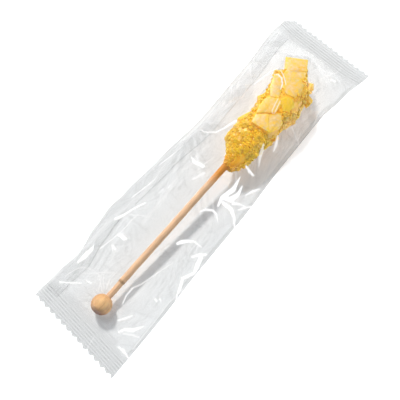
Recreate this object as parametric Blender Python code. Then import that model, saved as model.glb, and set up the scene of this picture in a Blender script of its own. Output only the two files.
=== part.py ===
"""A rock candy stick sealed in a clear flow-wrapped film bag, modelled as the bag's outer form.

The bag is one closed solid: a flat underside, folded long sides, two crimped ends with a zigzag cut,
and a top film that hangs like a tent from the crystals, the stick and the ball beneath it.
Metres, +Z up. The origin is the middle of the footprint, on the surface that the bag lies on.
+X runs along the bag, from the ball end to the candy end.
"""

from collections import namedtuple
import math
import random

import bmesh
import bpy
import numpy as np

# The bag: a tube of film 58 mm wide when flat, cut 218 mm long, with both ends cut a few degrees askew.
BAG_LENGTH = 0.2182
LOW_END_SKEW = 0.118
HIGH_END_SKEW = 0.092
# The real film is 0.03 mm thick. Its pressed ends and folds are drawn as thick as a solid needs.
FILM_THICKNESS = 0.0008
TEETH = 14
TOOTH_DEPTH = 0.0014
# Each crimp is pressed into ribs that run across the bag, behind its zigzag edge.
CRIMP_RIBS = 5
RIB_PITCH = 0.0016
RIB_HEIGHT = 0.0003
FIRST_RIB = 0.0020

# Where its long folds run, as (x, y): in at the pinches, wide over the stick, drawn in by the candy.
LEFT_FOLD = (
    (-0.1091, 0.0296), (-0.0905, 0.0287), (-0.0790, 0.0273), (-0.0620, 0.0303), (-0.0498, 0.0316),
    (-0.0396, 0.0308), (-0.0086, 0.0290), (0.0239, 0.0258), (0.0619, 0.0268), (0.0940, 0.0291),
    (0.1027, 0.0284), (0.1091, 0.0227),
)
RIGHT_FOLD = (
    (-0.1091, -0.0277), (-0.0724, -0.0278), (-0.0434, -0.0271), (-0.0073, -0.0272), (0.0315, -0.0264),
    (0.0676, -0.0262), (0.0866, -0.0285), (0.1091, -0.0317),
)
# How far each stretch of the folds stands off the surface, as (x, height).
FOLD_RISE = (
    (-0.1091, 0.0012), (-0.0900, 0.0008), (-0.0050, 0.0012), (0.0300, 0.0042), (0.0800, 0.0046),
    (0.1091, 0.0030),
)
# The middle share of the underside that lies flat, and how far in from its ends the bag lifts.
FLAT_SHARE = 0.55
END_LIFT_LENGTH = 0.024

# What lies in the bag: a turned ball on a stick, and the candy grown on the stick's other end.
BALL_CENTRE = (-0.0877, -0.0005, 0.0056)
BALL_RADIUS = 0.0055
STICK_RADIUS = 0.0017
STICK_SLOPE = (-0.0257, 0.0534)
CANDY_BASE_X = 0.0096
CANDY_TIP_X = 0.0820
# Half the candy's width at places along it, as (x, half width). Its body is flatter than it is wide.
CANDY_WIDTHS = (
    (0.0096, 0.0030), (0.0150, 0.0062), (0.0250, 0.0095), (0.0320, 0.0094), (0.0450, 0.0098),
    (0.0570, 0.0110), (0.0680, 0.0106), (0.0730, 0.0070), (0.0820, 0.0055),
)
CANDY_ROUNDNESS = 0.80

# The large crystals that lift the film: place, height of the upper face, size in plan, turn in degrees, and
# how far the upper face falls for each metre along and across.
Crystal = namedtuple("Crystal", "x y top length width turn fall_along fall_across")
LARGE_CRYSTALS = (
    Crystal(0.0764, -0.0004, 0.0200, 0.0116, 0.0116, 30.0, 0.08, 0.05),
    Crystal(0.0631, 0.0025, 0.0214, 0.0085, 0.0066, 14.0, -0.04, 0.24),
    Crystal(0.0522, 0.0008, 0.0228, 0.0103, 0.0075, 10.0, 0.02, 0.22),
    Crystal(0.0410, -0.0008, 0.0226, 0.0098, 0.0068, 8.0, 0.06, 0.22),
    Crystal(0.0381, -0.0091, 0.0214, 0.0136, 0.0104, -10.0, 0.02, -0.14),
    Crystal(0.0629, -0.0074, 0.0225, 0.0090, 0.0080, -6.0, -0.03, -0.12),
    Crystal(0.0530, -0.0086, 0.0222, 0.0100, 0.0084, 18.0, 0.05, -0.16),
    Crystal(0.0700, -0.0040, 0.0204, 0.0070, 0.0090, -20.0, 0.10, 0.0),
    Crystal(0.0743, -0.0122, 0.0158, 0.0060, 0.0046, -32.0, 0.05, -0.20),
    Crystal(0.0649, -0.0162, 0.0140, 0.0062, 0.0044, -28.0, 0.05, -0.20),
    Crystal(0.0555, -0.0146, 0.0168, 0.0080, 0.0070, 6.0, 0.0, -0.35),
    Crystal(0.0450, -0.0134, 0.0166, 0.0076, 0.0058, -14.0, 0.05, -0.32),
    Crystal(0.0270, 0.0016, 0.0176, 0.0062, 0.0058, 24.0, 0.28, 0.25),
    Crystal(0.0240, -0.0085, 0.0166, 0.0064, 0.0060, -18.0, 0.30, -0.25),
)
CRYSTAL_SIDE_SLOPE = 2.4

# Creases pressed into the loose film: how many, how high, how broad and how long.
CREASE_SEED = 11
CREASES = 34
CREASE_HEIGHTS = (0.0006, 0.0016)
CREASE_BREADTHS = (0.0018, 0.0034)
CREASE_LENGTHS = (0.014, 0.034)
# Where they lie, from the bag's middle, and which way they run: across it near its ends, else slantwise.
CREASE_REACH = (-0.094, 0.100)
CREASE_OFFSETS = (0.008, 0.024)
CREASE_END_REACH = 0.085
CREASE_TURN_AT_ENDS = 90.0
CREASE_TURN = 20.0
CREASE_TURN_SPREAD = 35.0
# The trough beside each ridge: its depth as a share of the ridge's height, and how many breadths off it lies.
TROUGH_SHARE = 0.6
TROUGH_DISTANCE = 1.8
# Creases fade to this share of their height where film lies on the candy, and are whole this far off it.
TAUT_CREASE_SHARE = 0.15
LOOSE_FILM_GAP = 0.004

# Rows along the bag and columns across it. Two columns make one tooth, and two rows make one rib.
BODY_ROWS = 84
COLUMNS = 2 * TEETH
CRIMP_ROWS = (0.0, *(FIRST_RIB + step * RIB_PITCH / 2 for step in range(2 * CRIMP_RIBS + 1)))
CRIMP_LENGTH = CRIMP_ROWS[-1]
SETTLING_STEPS = 2500


def blend_points(points, at):
    """The value at one place along a list of points, eased from each point to the next."""
    for (start, low), (end, high) in zip(points, points[1:]):
        if at <= end:
            share = max(0.0, (at - start) / (end - start))
            return low + (high - low) * share * share * (3.0 - 2.0 * share)
    return points[-1][1]


def row_distances():
    """Distances along the bag at which its rows of points lie: close in the crimps, even between them."""
    body = np.linspace(CRIMP_LENGTH, BAG_LENGTH - CRIMP_LENGTH, BODY_ROWS + 1)
    far_crimp = [BAG_LENGTH - step for step in reversed(CRIMP_ROWS[:-1])]
    return np.array(list(CRIMP_ROWS[:-1]) + list(body) + far_crimp)


def lay_out(distances):
    """Plan positions of every point of the flat bag, as two arrays of rows by columns."""
    across = np.linspace(-1.0, 1.0, COLUMNS + 1)
    along = distances - BAG_LENGTH / 2
    right = np.array([blend_points(RIGHT_FOLD, x) for x in along])
    left = np.array([blend_points(LEFT_FOLD, x) for x in along])
    y = right[:, None] + (left - right)[:, None] * (across[None, :] + 1.0) / 2.0
    skew = np.interp(along, (along[0], along[-1]), (LOW_END_SKEW, HIGH_END_SKEW))
    x = along[:, None] + skew[:, None] * y
    return x, y


def zigzag(x):
    """The two cut ends, with every other point drawn back to make the teeth."""
    x = x.copy()
    x[0, 1::2] += TOOTH_DEPTH
    x[-1, 1::2] -= TOOTH_DEPTH
    return x


def underside(x):
    """Heights of the bottom film: flat in the middle, lifted towards the folds and the crimped ends."""
    across = np.abs(np.linspace(-1.0, 1.0, COLUMNS + 1))
    share = np.clip((across - FLAT_SHARE) / (1.0 - FLAT_SHARE), 0.0, 1.0)
    rise = np.array([blend_points(FOLD_RISE, value) for value in x.mean(axis=1)])
    heights = rise[:, None] * (share * share * (3.0 - 2.0 * share))[None, :]
    along = x.mean(axis=1)
    from_end = np.minimum(along - along[0], along[-1] - along)
    lift = np.clip(1.0 - from_end / END_LIFT_LENGTH, 0.0, 1.0) ** 2
    return heights + (lift * rise)[:, None] * (1.0 - share[None, :]) + crimp_ribs(len(rise))[:, None]


def crimp_ribs(rows):
    """The up and down of the crimps' ribs, one value a row. Both films share it."""
    wave = np.zeros(rows)
    wave[2:len(CRIMP_ROWS) - 1:2] = RIB_HEIGHT
    return wave + wave[::-1]


def stick_axis(x):
    """Sideways position and height of the stick's axis at x."""
    along = x - BALL_CENTRE[0]
    return BALL_CENTRE[1] + STICK_SLOPE[0] * along, BALL_CENTRE[2] + STICK_SLOPE[1] * along


def ball_top(x, y):
    reach = BALL_RADIUS ** 2 - (x - BALL_CENTRE[0]) ** 2 - (y - BALL_CENTRE[1]) ** 2
    return np.where(reach > 0.0, BALL_CENTRE[2] + np.sqrt(np.maximum(reach, 0.0)), 0.0)


def stick_top(x, y):
    axis_y, axis_z = stick_axis(x)
    on_stick = (x > BALL_CENTRE[0]) & (x < CANDY_TIP_X) & (np.abs(y - axis_y) < 1.2 * STICK_RADIUS)
    return np.where(on_stick, axis_z + STICK_RADIUS, 0.0)


def candy_core_top(x, y):
    """The candy's rounded body, a little flatter than it is wide."""
    axis_y, axis_z = stick_axis(x)
    width = np.interp(x, [at for at, _ in CANDY_WIDTHS], [value for _, value in CANDY_WIDTHS])
    reach = np.maximum(1.0 - ((y - axis_y) / width) ** 2, 0.0)
    inside = (x > CANDY_BASE_X) & (x < CANDY_TIP_X) & (reach > 0.0)
    return np.where(inside, axis_z + CANDY_ROUNDNESS * width * np.sqrt(reach), 0.0)


def turned(x, y, angle):
    """Distances along and across a direction in the plan."""
    return x * math.cos(angle) + y * math.sin(angle), y * math.cos(angle) - x * math.sin(angle)


def crystal_top(x, y, crystal):
    """One large crystal's upper face, with sides that fall away steeply from its edges."""
    along, across = turned(x - crystal.x, y - crystal.y, math.radians(crystal.turn))
    past_ends = np.maximum(np.abs(along) - crystal.length / 2, np.abs(across) - crystal.width / 2)
    upper = crystal.top - crystal.fall_along * along - crystal.fall_across * across
    return upper - CRYSTAL_SIDE_SLOPE * np.maximum(past_ends, 0.0)


def contents_top(x, y):
    """The highest thing in the bag under each point."""
    heights = np.maximum(ball_top(x, y), stick_top(x, y))
    heights = np.maximum(heights, candy_core_top(x, y))
    for crystal in LARGE_CRYSTALS:
        heights = np.maximum(heights, crystal_top(x, y, crystal))
    return heights


def hang_film(x, y, bottom):
    """Heights of the top film: it takes the mean of its neighbours' heights wherever nothing holds it up."""
    floor = np.maximum(contents_top(x, y), bottom) + FILM_THICKNESS
    held = np.ones(x.shape, bool)
    last_crimp_row = len(CRIMP_ROWS) - 1
    held[last_crimp_row + 1:-last_crimp_row - 1, 1:-1] = False
    heights = np.where(held, bottom + FILM_THICKNESS, floor)
    step_x = (BAG_LENGTH - 2.0 * CRIMP_LENGTH) / BODY_ROWS
    step_y = (y[:, -1] - y[:, 0]).mean() / COLUMNS
    share_x, share_y = step_y ** 2, step_x ** 2
    for _ in range(SETTLING_STEPS):
        mean = heights.copy()
        along = heights[:-2, 1:-1] + heights[2:, 1:-1]
        across = heights[1:-1, :-2] + heights[1:-1, 2:]
        mean[1:-1, 1:-1] = (share_x * along + share_y * across) / (2.0 * (share_x + share_y))
        heights = np.where(held, heights, np.maximum(mean, floor))
    return heights, floor, held


def crease(x, y, draw):
    """One straight crease in the film, fading at both ends: a low ridge beside a shallow trough."""
    centre_x = draw.uniform(*CREASE_REACH)
    centre_y = draw.choice((-1.0, 1.0)) * draw.uniform(*CREASE_OFFSETS)
    usual_turn = CREASE_TURN_AT_ENDS if abs(centre_x) > CREASE_END_REACH else CREASE_TURN
    angle = math.radians(draw.gauss(usual_turn, CREASE_TURN_SPREAD))
    length = draw.uniform(*CREASE_LENGTHS)
    breadth = draw.uniform(*CREASE_BREADTHS)
    height = draw.uniform(*CREASE_HEIGHTS)
    along, across = turned(x - centre_x, y - centre_y, angle)
    fade = np.exp(-((2.0 * along / length) ** 4))
    ridge = np.exp(-((across / breadth) ** 2))
    trough = np.exp(-((across / breadth - TROUGH_DISTANCE) ** 2))
    return height * fade * (ridge - TROUGH_SHARE * trough)


def top_film(x, y, bottom):
    """Heights of the top film, hung over what is in the bag and then creased where it is loose."""
    heights, floor, held = hang_film(x, y, bottom)
    draw = random.Random(CREASE_SEED)
    looseness = np.clip((heights - floor) / LOOSE_FILM_GAP, TAUT_CREASE_SHARE, 1.0)
    creased = heights.copy()
    for _ in range(CREASES):
        creased += looseness * crease(x, y, draw)
    return np.where(held, heights, np.maximum(creased, floor))


def clear_scene():
    for obj in list(bpy.data.objects):
        bpy.data.objects.remove(obj, do_unlink=True)


def make_film_material():
    material = bpy.data.materials.new("clear film")
    material.use_nodes = True
    shader = material.node_tree.nodes["Principled BSDF"]
    shader.inputs["Base Color"].default_value = (0.86, 0.84, 0.78, 1.0)
    shader.inputs["Roughness"].default_value = 0.12
    shader.inputs["Metallic"].default_value = 0.0
    shader.inputs["IOR"].default_value = 1.49
    return material


def make_bag(collection):
    """The bag's solid: a flat grid extruded once, then moved point by point into the two films."""
    distances = row_distances()
    x, y = lay_out(distances)
    bottom = underside(x)
    top = top_film(x, y, bottom)
    x = zigzag(x)
    x -= (x.min() + x.max()) / 2
    y -= (y.min() + y.max()) / 2

    bag = bmesh.new()
    rows = len(distances) - 1
    bmesh.ops.create_grid(bag, x_segments=rows, y_segments=COLUMNS, size=1.0)
    extruded = bmesh.ops.extrude_face_region(bag, geom=list(bag.faces), use_keep_orig=True)
    upper = {item for item in extruded["geom"] if isinstance(item, bmesh.types.BMVert)}
    for vertex in bag.verts:
        row = round((vertex.co.x + 1.0) / 2.0 * rows)
        column = round((vertex.co.y + 1.0) / 2.0 * COLUMNS)
        height = top[row, column] if vertex in upper else bottom[row, column]
        vertex.co = (x[row, column], y[row, column], height)
    flat = [face for face in bag.faces if all(vertex.co.z == 0.0 for vertex in face.verts)]
    bmesh.ops.dissolve_faces(bag, faces=flat)
    bmesh.ops.recalc_face_normals(bag, faces=bag.faces)

    mesh = bpy.data.meshes.new("film_bag")
    bag.to_mesh(mesh)
    bag.free()
    mesh.shade_smooth()
    mesh.set_sharp_from_angle(angle=math.radians(50.0))
    mesh.materials.append(make_film_material())
    obj = bpy.data.objects.new("film_bag", mesh)
    collection.objects.link(obj)
    return obj


def main():
    clear_scene()
    collection = bpy.data.collections.new("Rock candy stick")
    bpy.context.scene.collection.children.link(collection)
    make_bag(collection)


main()
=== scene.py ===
"""Rock candy on a birch stick, sealed in a clear film bag: its looks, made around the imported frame.

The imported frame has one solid, the bag's outer form. Here it gives way to the clear film itself, with its
crimped ends and back seam, and to what the film holds: a turned ball, the stick and the sugar crystals.
Metres, +Z up. +X runs along the bag, from the ball end to the candy end.
"""

import math
import random

import bmesh
import bpy
import numpy as np
from mathutils import Matrix, Vector
from mathutils.bvhtree import BVHTree


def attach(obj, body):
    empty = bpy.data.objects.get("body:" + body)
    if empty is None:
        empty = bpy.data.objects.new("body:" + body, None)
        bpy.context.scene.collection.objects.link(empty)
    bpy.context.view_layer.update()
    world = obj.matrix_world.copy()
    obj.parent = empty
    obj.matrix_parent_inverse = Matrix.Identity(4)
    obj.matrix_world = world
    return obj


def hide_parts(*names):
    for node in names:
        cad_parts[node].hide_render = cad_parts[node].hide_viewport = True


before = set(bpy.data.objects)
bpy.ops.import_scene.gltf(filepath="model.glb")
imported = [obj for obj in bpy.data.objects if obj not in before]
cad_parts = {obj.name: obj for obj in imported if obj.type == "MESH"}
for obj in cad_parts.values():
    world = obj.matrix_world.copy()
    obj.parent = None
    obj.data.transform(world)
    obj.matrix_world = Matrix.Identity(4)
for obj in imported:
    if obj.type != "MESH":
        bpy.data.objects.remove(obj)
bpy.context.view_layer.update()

bl_info = {
    "name": "Rock Candy Stick",
    "version": (1, 0, 0),
    "blender": (4, 5, 0),
    "location": "View3D > Sidebar > Rock Candy",
    "description": "Builds a rock candy stick in its clear film bag around a packed frame",
    "category": "Add Mesh",
}

MM = 0.001
WHITE = (1.0, 1.0, 1.0, 1.0)
# A height above everything here, from which rays are dropped.
ABOVE_ALL = 0.05

# The bag in plan: cut length, how far its ends are cut askew, and the zigzag of its cuts.
BAG_LENGTH = 0.2182
LOW_END_SKEW = 0.118
HIGH_END_SKEW = 0.092
TEETH = 14
TOOTH_DEPTH = 0.0014
CRIMP_LENGTH = 0.010
# Where its long folds run, as (x, y): in at the pinches, wide over the stick, drawn in by the candy.
LEFT_FOLD = (
    (-0.1091, 0.0296), (-0.0905, 0.0287), (-0.0790, 0.0273), (-0.0620, 0.0303), (-0.0498, 0.0316),
    (-0.0396, 0.0308), (-0.0086, 0.0290), (0.0239, 0.0258), (0.0619, 0.0268), (0.0940, 0.0291),
    (0.1027, 0.0284), (0.1091, 0.0227),
)
RIGHT_FOLD = (
    (-0.1091, -0.0277), (-0.0724, -0.0278), (-0.0434, -0.0271), (-0.0073, -0.0272), (0.0315, -0.0264),
    (0.0676, -0.0262), (0.0866, -0.0285), (0.1091, -0.0317),
)

# What lies in the bag: a turned ball, the stick from it to the candy's tip, and the candy.
BALL_CENTRE = Vector((-0.0877, -0.0009, 0.0055))
BALL_RADIUS = 0.0053
# The ways that the ball's dark end, its end grain with painted shade, and its painted lit side face.
BALL_DARK_END = (-0.962, -0.256, 0.09)
BALL_PAINTED_LIT_SIDE = (-0.130, -0.370, 0.920)
STICK_RADIUS = 0.0018
# How far the stick runs aside and up for each metre along X.
STICK_SLOPE = (-0.0320, 0.0534)
# Where along X its peg and it end, and where the candy begins, turns from fine to large crystals, and ends.
PEG_END_X = -0.0738
STICK_END_X = 0.0740
CANDY_BASE_X = 0.0078
FINE_ZONE_END_X = 0.0315
CANDY_TIP_X = 0.0800
# The sugar's body at places along it: x, half its width, how far its middle lies beside the stick, and half
# its height.
CORE_PROFILE = (
    (0.0078, 0.0012, -0.0016, 0.0012), (0.0105, 0.0030, -0.0022, 0.0022), (0.0142, 0.0048, -0.0022, 0.0030),
    (0.0185, 0.0068, -0.0008, 0.0040), (0.0210, 0.0086, 0.0006, 0.0044), (0.0278, 0.0090, 0.0006, 0.0050),
    (0.0332, 0.0082, 0.0006, 0.0056), (0.0385, 0.0080, -0.0002, 0.0066), (0.0480, 0.0092, -0.0003, 0.0076),
    (0.0550, 0.0102, -0.0007, 0.0078), (0.0620, 0.0102, 0.0010, 0.0072), (0.0680, 0.0098, 0.0017, 0.0062),
    (0.0735, 0.0056, 0.0032, 0.0046), (0.0800, 0.0030, 0.0058, 0.0034),
)
# How deep a large crystal reaches into the candy, and how far the edges of those it rests on are worn.
CRYSTAL_DEPTH = 0.0075
EDGE_WEAR = 0.00012
# The rings of points that a large crystal of the upper side is made of, from its foot to its upper face:
# their share of its width, how far they lie below the face, and how clear the sugar is there. Less clear
# sugar takes the deeper syrup tone, so the edges are darker: partly the sugar's own tone and partly painted
# shade where crystals meet.
CRYSTAL_RINGS = (
    (0.97, CRYSTAL_DEPTH, 0.2), (1.0, 0.00024, 0.3), (0.95, 0.0, 0.5),
    (0.74, -0.00010, 0.85), (0.40, -0.00022, 1.0),
)
# How much wider than its outline such a crystal is, so that it meets its neighbours.
CRYSTAL_SPREAD = 1.04
# How much light passes through the crystals.
LARGE_CLEARNESS = 0.10
SMALL_CLEARNESS = 0.05

# The large crystals of the upper side, in millimetres: height of the face's middle, how far the face rises
# for each millimetre along X and along Y, and its corners in plan.
TOP_CRYSTALS = (
    (19.0, -0.08, -0.08, ((78.0, 8.3), (83.6, -2.2), (76.8, -6.0), (71.5, -0.7), (71.1, 3.8))),
    (19.9, -0.11, -0.02, ((70.9, 2.7), (76.6, -6.0), (71.9, -7.9), (69.5, -7.0), (64.4, -1.0),
        (66.7, 2.5))),
    (21.2, -0.06, -0.06, ((62.6, 5.8), (65.0, 3.8), (62.2, -0.2), (57.4, -3.0), (52.6, -4.6), (50.9, -0.6),
        (55.3, 3.0))),
    (22.0, 0.04, 0.03, ((49.1, 0.4), (52.2, -5.3), (50.1, -7.8), (44.7, -8.4), (38.2, -0.8), (42.5, 0.6))),
    (21.0, 0.05, -0.03, ((38.0, -0.9), (41.7, -5.8), (33.2, -12.4), (32.8, -1.6))),
    (20.0, 0.02, 0.07, ((41.8, -6.0), (46.5, -10.5), (42.6, -14.5), (38.3, -14.5), (33.3, -12.6))),
    (21.0, -0.08, 0.05, ((64.8, -0.9), (70.1, -6.2), (68.1, -10.6), (63.4, -11.7), (58.5, -10.9),
        (57.3, -6.3), (59.2, -3.0))),
)
# The golden one to their right, in the same way.
GOLDEN_CRYSTALS = (
    (20.5, 0.03, 0.22, ((52.5, -6.1), (56.0, -7.2), (57.2, -10.7), (54.9, -13.9), (50.6, -13.4),
        (48.2, -10.5))),
)
# The blunt crystals that stand out on the candy's right, and those of its left shoulder: place and size in
# millimetres, and the way they face.
KNOBS = (
    (72.2, -12.0, 14.6, 4.6), (70.6, -13.2, 13.2, 3.6), (66.0, -15.6, 12.4, 4.4), (64.4, -16.4, 11.6, 3.4),
    (68.4, 7.4, 15.4, 3.4), (68.8, 5.4, 16.4, 3.4), (66.4, 6.8, 15.8, 3.2), (70.0, 4.2, 16.4, 2.8),
)
KNOB_DIRECTION = (0.3, -0.8, 0.5)
# How steeply the candy's body has to face down for a blunt crystal to grow on its lower flank.
FLANK_SLOPE = -0.45
# The crystals it rests on: place, height of the lower face, length, width and turn in degrees.
UNDER_CRYSTALS = (
    (0.0640, 0.0008, 0.0006, 0.0110, 0.0090, 24.0),
    (0.0530, -0.0092, 0.0005, 0.0120, 0.0084, -16.0),
    (0.0440, 0.0004, 0.0007, 0.0100, 0.0092, 8.0),
    (0.0380, -0.0088, 0.0010, 0.0090, 0.0070, 40.0),
    (0.0700, -0.0082, 0.0012, 0.0090, 0.0080, -34.0),
    (0.0320, -0.0030, 0.0022, 0.0080, 0.0076, 12.0),
    (0.0545, 0.0038, 0.0012, 0.0086, 0.0076, 50.0),
    (0.0372, 0.0042, 0.0026, 0.0076, 0.0066, -20.0),
    (0.0462, -0.0072, 0.0022, 0.0080, 0.0062, 70.0),
    (0.0610, -0.0076, 0.0020, 0.0074, 0.0066, 15.0),
)


def colour(hex_code):
    """Linear RGBA of an sRGB hex colour."""
    channels = [int(hex_code[start:start + 2], 16) / 255.0 for start in (0, 2, 4)]
    linear = [c / 12.92 if c <= 0.04045 else ((c + 0.055) / 1.055) ** 2.4 for c in channels]
    return (*linear, 1.0)


def neutral(level):
    """A grey with the given share of white's light."""
    return (level, level, level, 1.0)


def with_light(shade, share):
    """A colour with its light multiplied by a share, up to white's."""
    return tuple(min(1.0, channel * share) for channel in shade[:3]) + (1.0,)


class RockCandyBag(bpy.types.PropertyGroup):
    """Sizes and finish of the film bag."""
    film_gap: bpy.props.FloatProperty(
        name="Sealed thickness", description="Drawn thickness of the two films where they are sealed",
        default=0.00015, min=0.00005, unit="LENGTH")
    clearance: bpy.props.FloatProperty(
        name="Clearance", description="Gap between the film and what it lies on", default=0.00015,
        min=0.00005, unit="LENGTH")
    seam_width: bpy.props.FloatProperty(
        name="Back seam width", description="Width of the seam that is folded flat under the bag",
        default=0.0078, min=0.002, unit="LENGTH")
    crinkles: bpy.props.IntProperty(
        name="Crinkles", description="How many small creases each film has", default=200, min=0)
    facets: bpy.props.IntProperty(
        name="Facets", description="How many broad folds the upper film has", default=70, min=0)
    haze: bpy.props.FloatVectorProperty(
        name="Film tint", description="Light that passes straight through the film", size=4,
        subtype="COLOR", default=colour("F8F8F8"))


class RockCandyStick(bpy.types.PropertyGroup):
    """Sizes and colours of the turned ball and the stick."""
    ball_radius: bpy.props.FloatProperty(
        name="Ball radius", description="Radius of the turned ball", default=BALL_RADIUS, unit="LENGTH")
    stick_radius: bpy.props.FloatProperty(
        name="Stick radius", description="Radius of the stick", default=STICK_RADIUS, unit="LENGTH")
    ball_wood: bpy.props.FloatVectorProperty(
        name="Ball wood", description="Colour of the ball's wood", size=4, subtype="COLOR",
        default=colour("FFCD92"))
    stick_wood: bpy.props.FloatVectorProperty(
        name="Stick wood", description="Colour of the stick's wood", size=4, subtype="COLOR",
        default=colour("E7BE97"))
    syrup_stain: bpy.props.FloatVectorProperty(
        name="Syrup stain", description="Colour of the wood that has soaked up syrup", size=4,
        subtype="COLOR", default=colour("DC8C08"))


class RockCandySugar(bpy.types.PropertyGroup):
    """Colours and number of the sugar crystals."""
    pale_sugar: bpy.props.FloatVectorProperty(
        name="Pale sugar", description="Colour of the palest large crystals", size=4, subtype="COLOR",
        default=colour("DEC490"))
    honey_sugar: bpy.props.FloatVectorProperty(
        name="Honey sugar", description="Colour of the deepest large crystals", size=4, subtype="COLOR",
        default=colour("EDCC6E"))
    golden_sugar: bpy.props.FloatVectorProperty(
        name="Golden sugar", description="Colour of the fine crystals", size=4, subtype="COLOR",
        default=colour("FFD028"))
    amber_sugar: bpy.props.FloatVectorProperty(
        name="Amber sugar", description="Colour of the sugar deep in the crevices", size=4,
        subtype="COLOR", default=colour("FDBA16"))
    fine_crystals: bpy.props.IntProperty(
        name="Fine crystals", description="How many fine crystals cover the candy's lower third",
        default=2600, min=0)
    side_crystals: bpy.props.IntProperty(
        name="Side crystals", description="How many middling crystals cover its sides and underside",
        default=2600, min=0)


class RockCandyStudio(bpy.types.PropertyGroup):
    """The light and the camera."""
    key_strength: bpy.props.FloatProperty(
        name="Key light", description="Power of the main soft box", default=55.0, min=0.0, unit="POWER")
    fill_strength: bpy.props.FloatProperty(
        name="Fill light", description="Power of the broad panel beside the table", default=16.0, min=0.0,
        unit="POWER")
    dome_strength: bpy.props.FloatProperty(
        name="Dome", description="Strength of the even light from all round", default=0.95, min=0.0)
    floor_glow: bpy.props.FloatProperty(
        name="Floor glow", description="How far the white floor is burnt out", default=0.30, min=0.0)
    camera_distance: bpy.props.FloatProperty(
        name="Camera distance", description="From the camera to the point it looks at", default=0.3589,
        unit="LENGTH")
    camera_lens: bpy.props.FloatProperty(
        name="Lens", description="Focal length on a 36 mm sensor", default=60.62, unit="CAMERA")


def socket_in_use(sockets, name):
    """The socket with a name or a place in the row, leaving out those kept for other kinds of value."""
    in_use = [socket for socket in sockets if socket.enabled]
    if isinstance(name, int):
        return in_use[name]
    return {socket.name: socket for socket in in_use}[name]


def set_stops(elements, stops):
    """Gives a new colour ramp its stops, as (position, colour)."""
    while len(elements) < len(stops):
        elements.new(0.5)
    for element, (position, value) in zip(elements, stops):
        element.position = position
        element.color = value


def add_node(tree, kind, settings=None, output=0):
    """Adds a node with its settings and links, and gives its first output, or else the one that is named.

    A setting is a property, a colour ramp's stops, or a socket by its name or place in the row. A socket
    takes a value or another node's output.
    """
    node = tree.nodes.new(kind)
    for name, value in (settings or {}).items():
        if name == "stops":
            set_stops(node.color_ramp.elements, value)
        elif isinstance(name, str) and hasattr(node, name):
            setattr(node, name, value)
        elif isinstance(value, bpy.types.NodeSocket):
            tree.links.new(value, socket_in_use(node.inputs, name))
        else:
            socket_in_use(node.inputs, name).default_value = value
    return socket_in_use(node.outputs, output)


def new_material(name):
    """An empty node material and its output node."""
    material = bpy.data.materials.new(name)
    material.use_nodes = True
    material.node_tree.nodes.clear()
    output = material.node_tree.nodes.new("ShaderNodeOutputMaterial")
    return material, material.node_tree, output


def add_piece(name, mesh, material):
    """Puts a finished mesh in the scene as a piece that rides with the bag and takes a slot's finish."""
    mesh.materials.append(material)
    piece = bpy.data.objects.new(name, mesh)
    bpy.context.scene.collection.objects.link(piece)
    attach(piece, "root")
    return piece


def piece_named(name):
    """A piece that an earlier step has made."""
    if name not in bpy.data.objects:
        raise RuntimeError(f"{name} has to be made first")
    return bpy.data.objects[name]


def blend_points(points, at):
    """The value at one place along a list of points, eased from each point to the next."""
    for (start, low), (end, high) in zip(points, points[1:]):
        if at <= end:
            share = max(0.0, (at - start) / (end - start))
            return low + (high - low) * share * share * (3.0 - 2.0 * share)
    return points[-1][1]


def stick_axis(x):
    """The point of the stick's axis at x."""
    along = x - BALL_CENTRE.x
    return Vector((x, BALL_CENTRE.y + STICK_SLOPE[0] * along, BALL_CENTRE.z + STICK_SLOPE[1] * along))


def stick_frame():
    """Places a piece turned about +X so that it lies on the stick's axis, from the ball's centre."""
    direction = Vector((1.0, *STICK_SLOPE)).normalized()
    side = Vector((0.0, 0.0, 1.0)).cross(direction).normalized()
    up = direction.cross(side)
    turn = Matrix((direction, side, up)).transposed().to_4x4()
    return Matrix.Translation(BALL_CENTRE) @ turn


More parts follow.
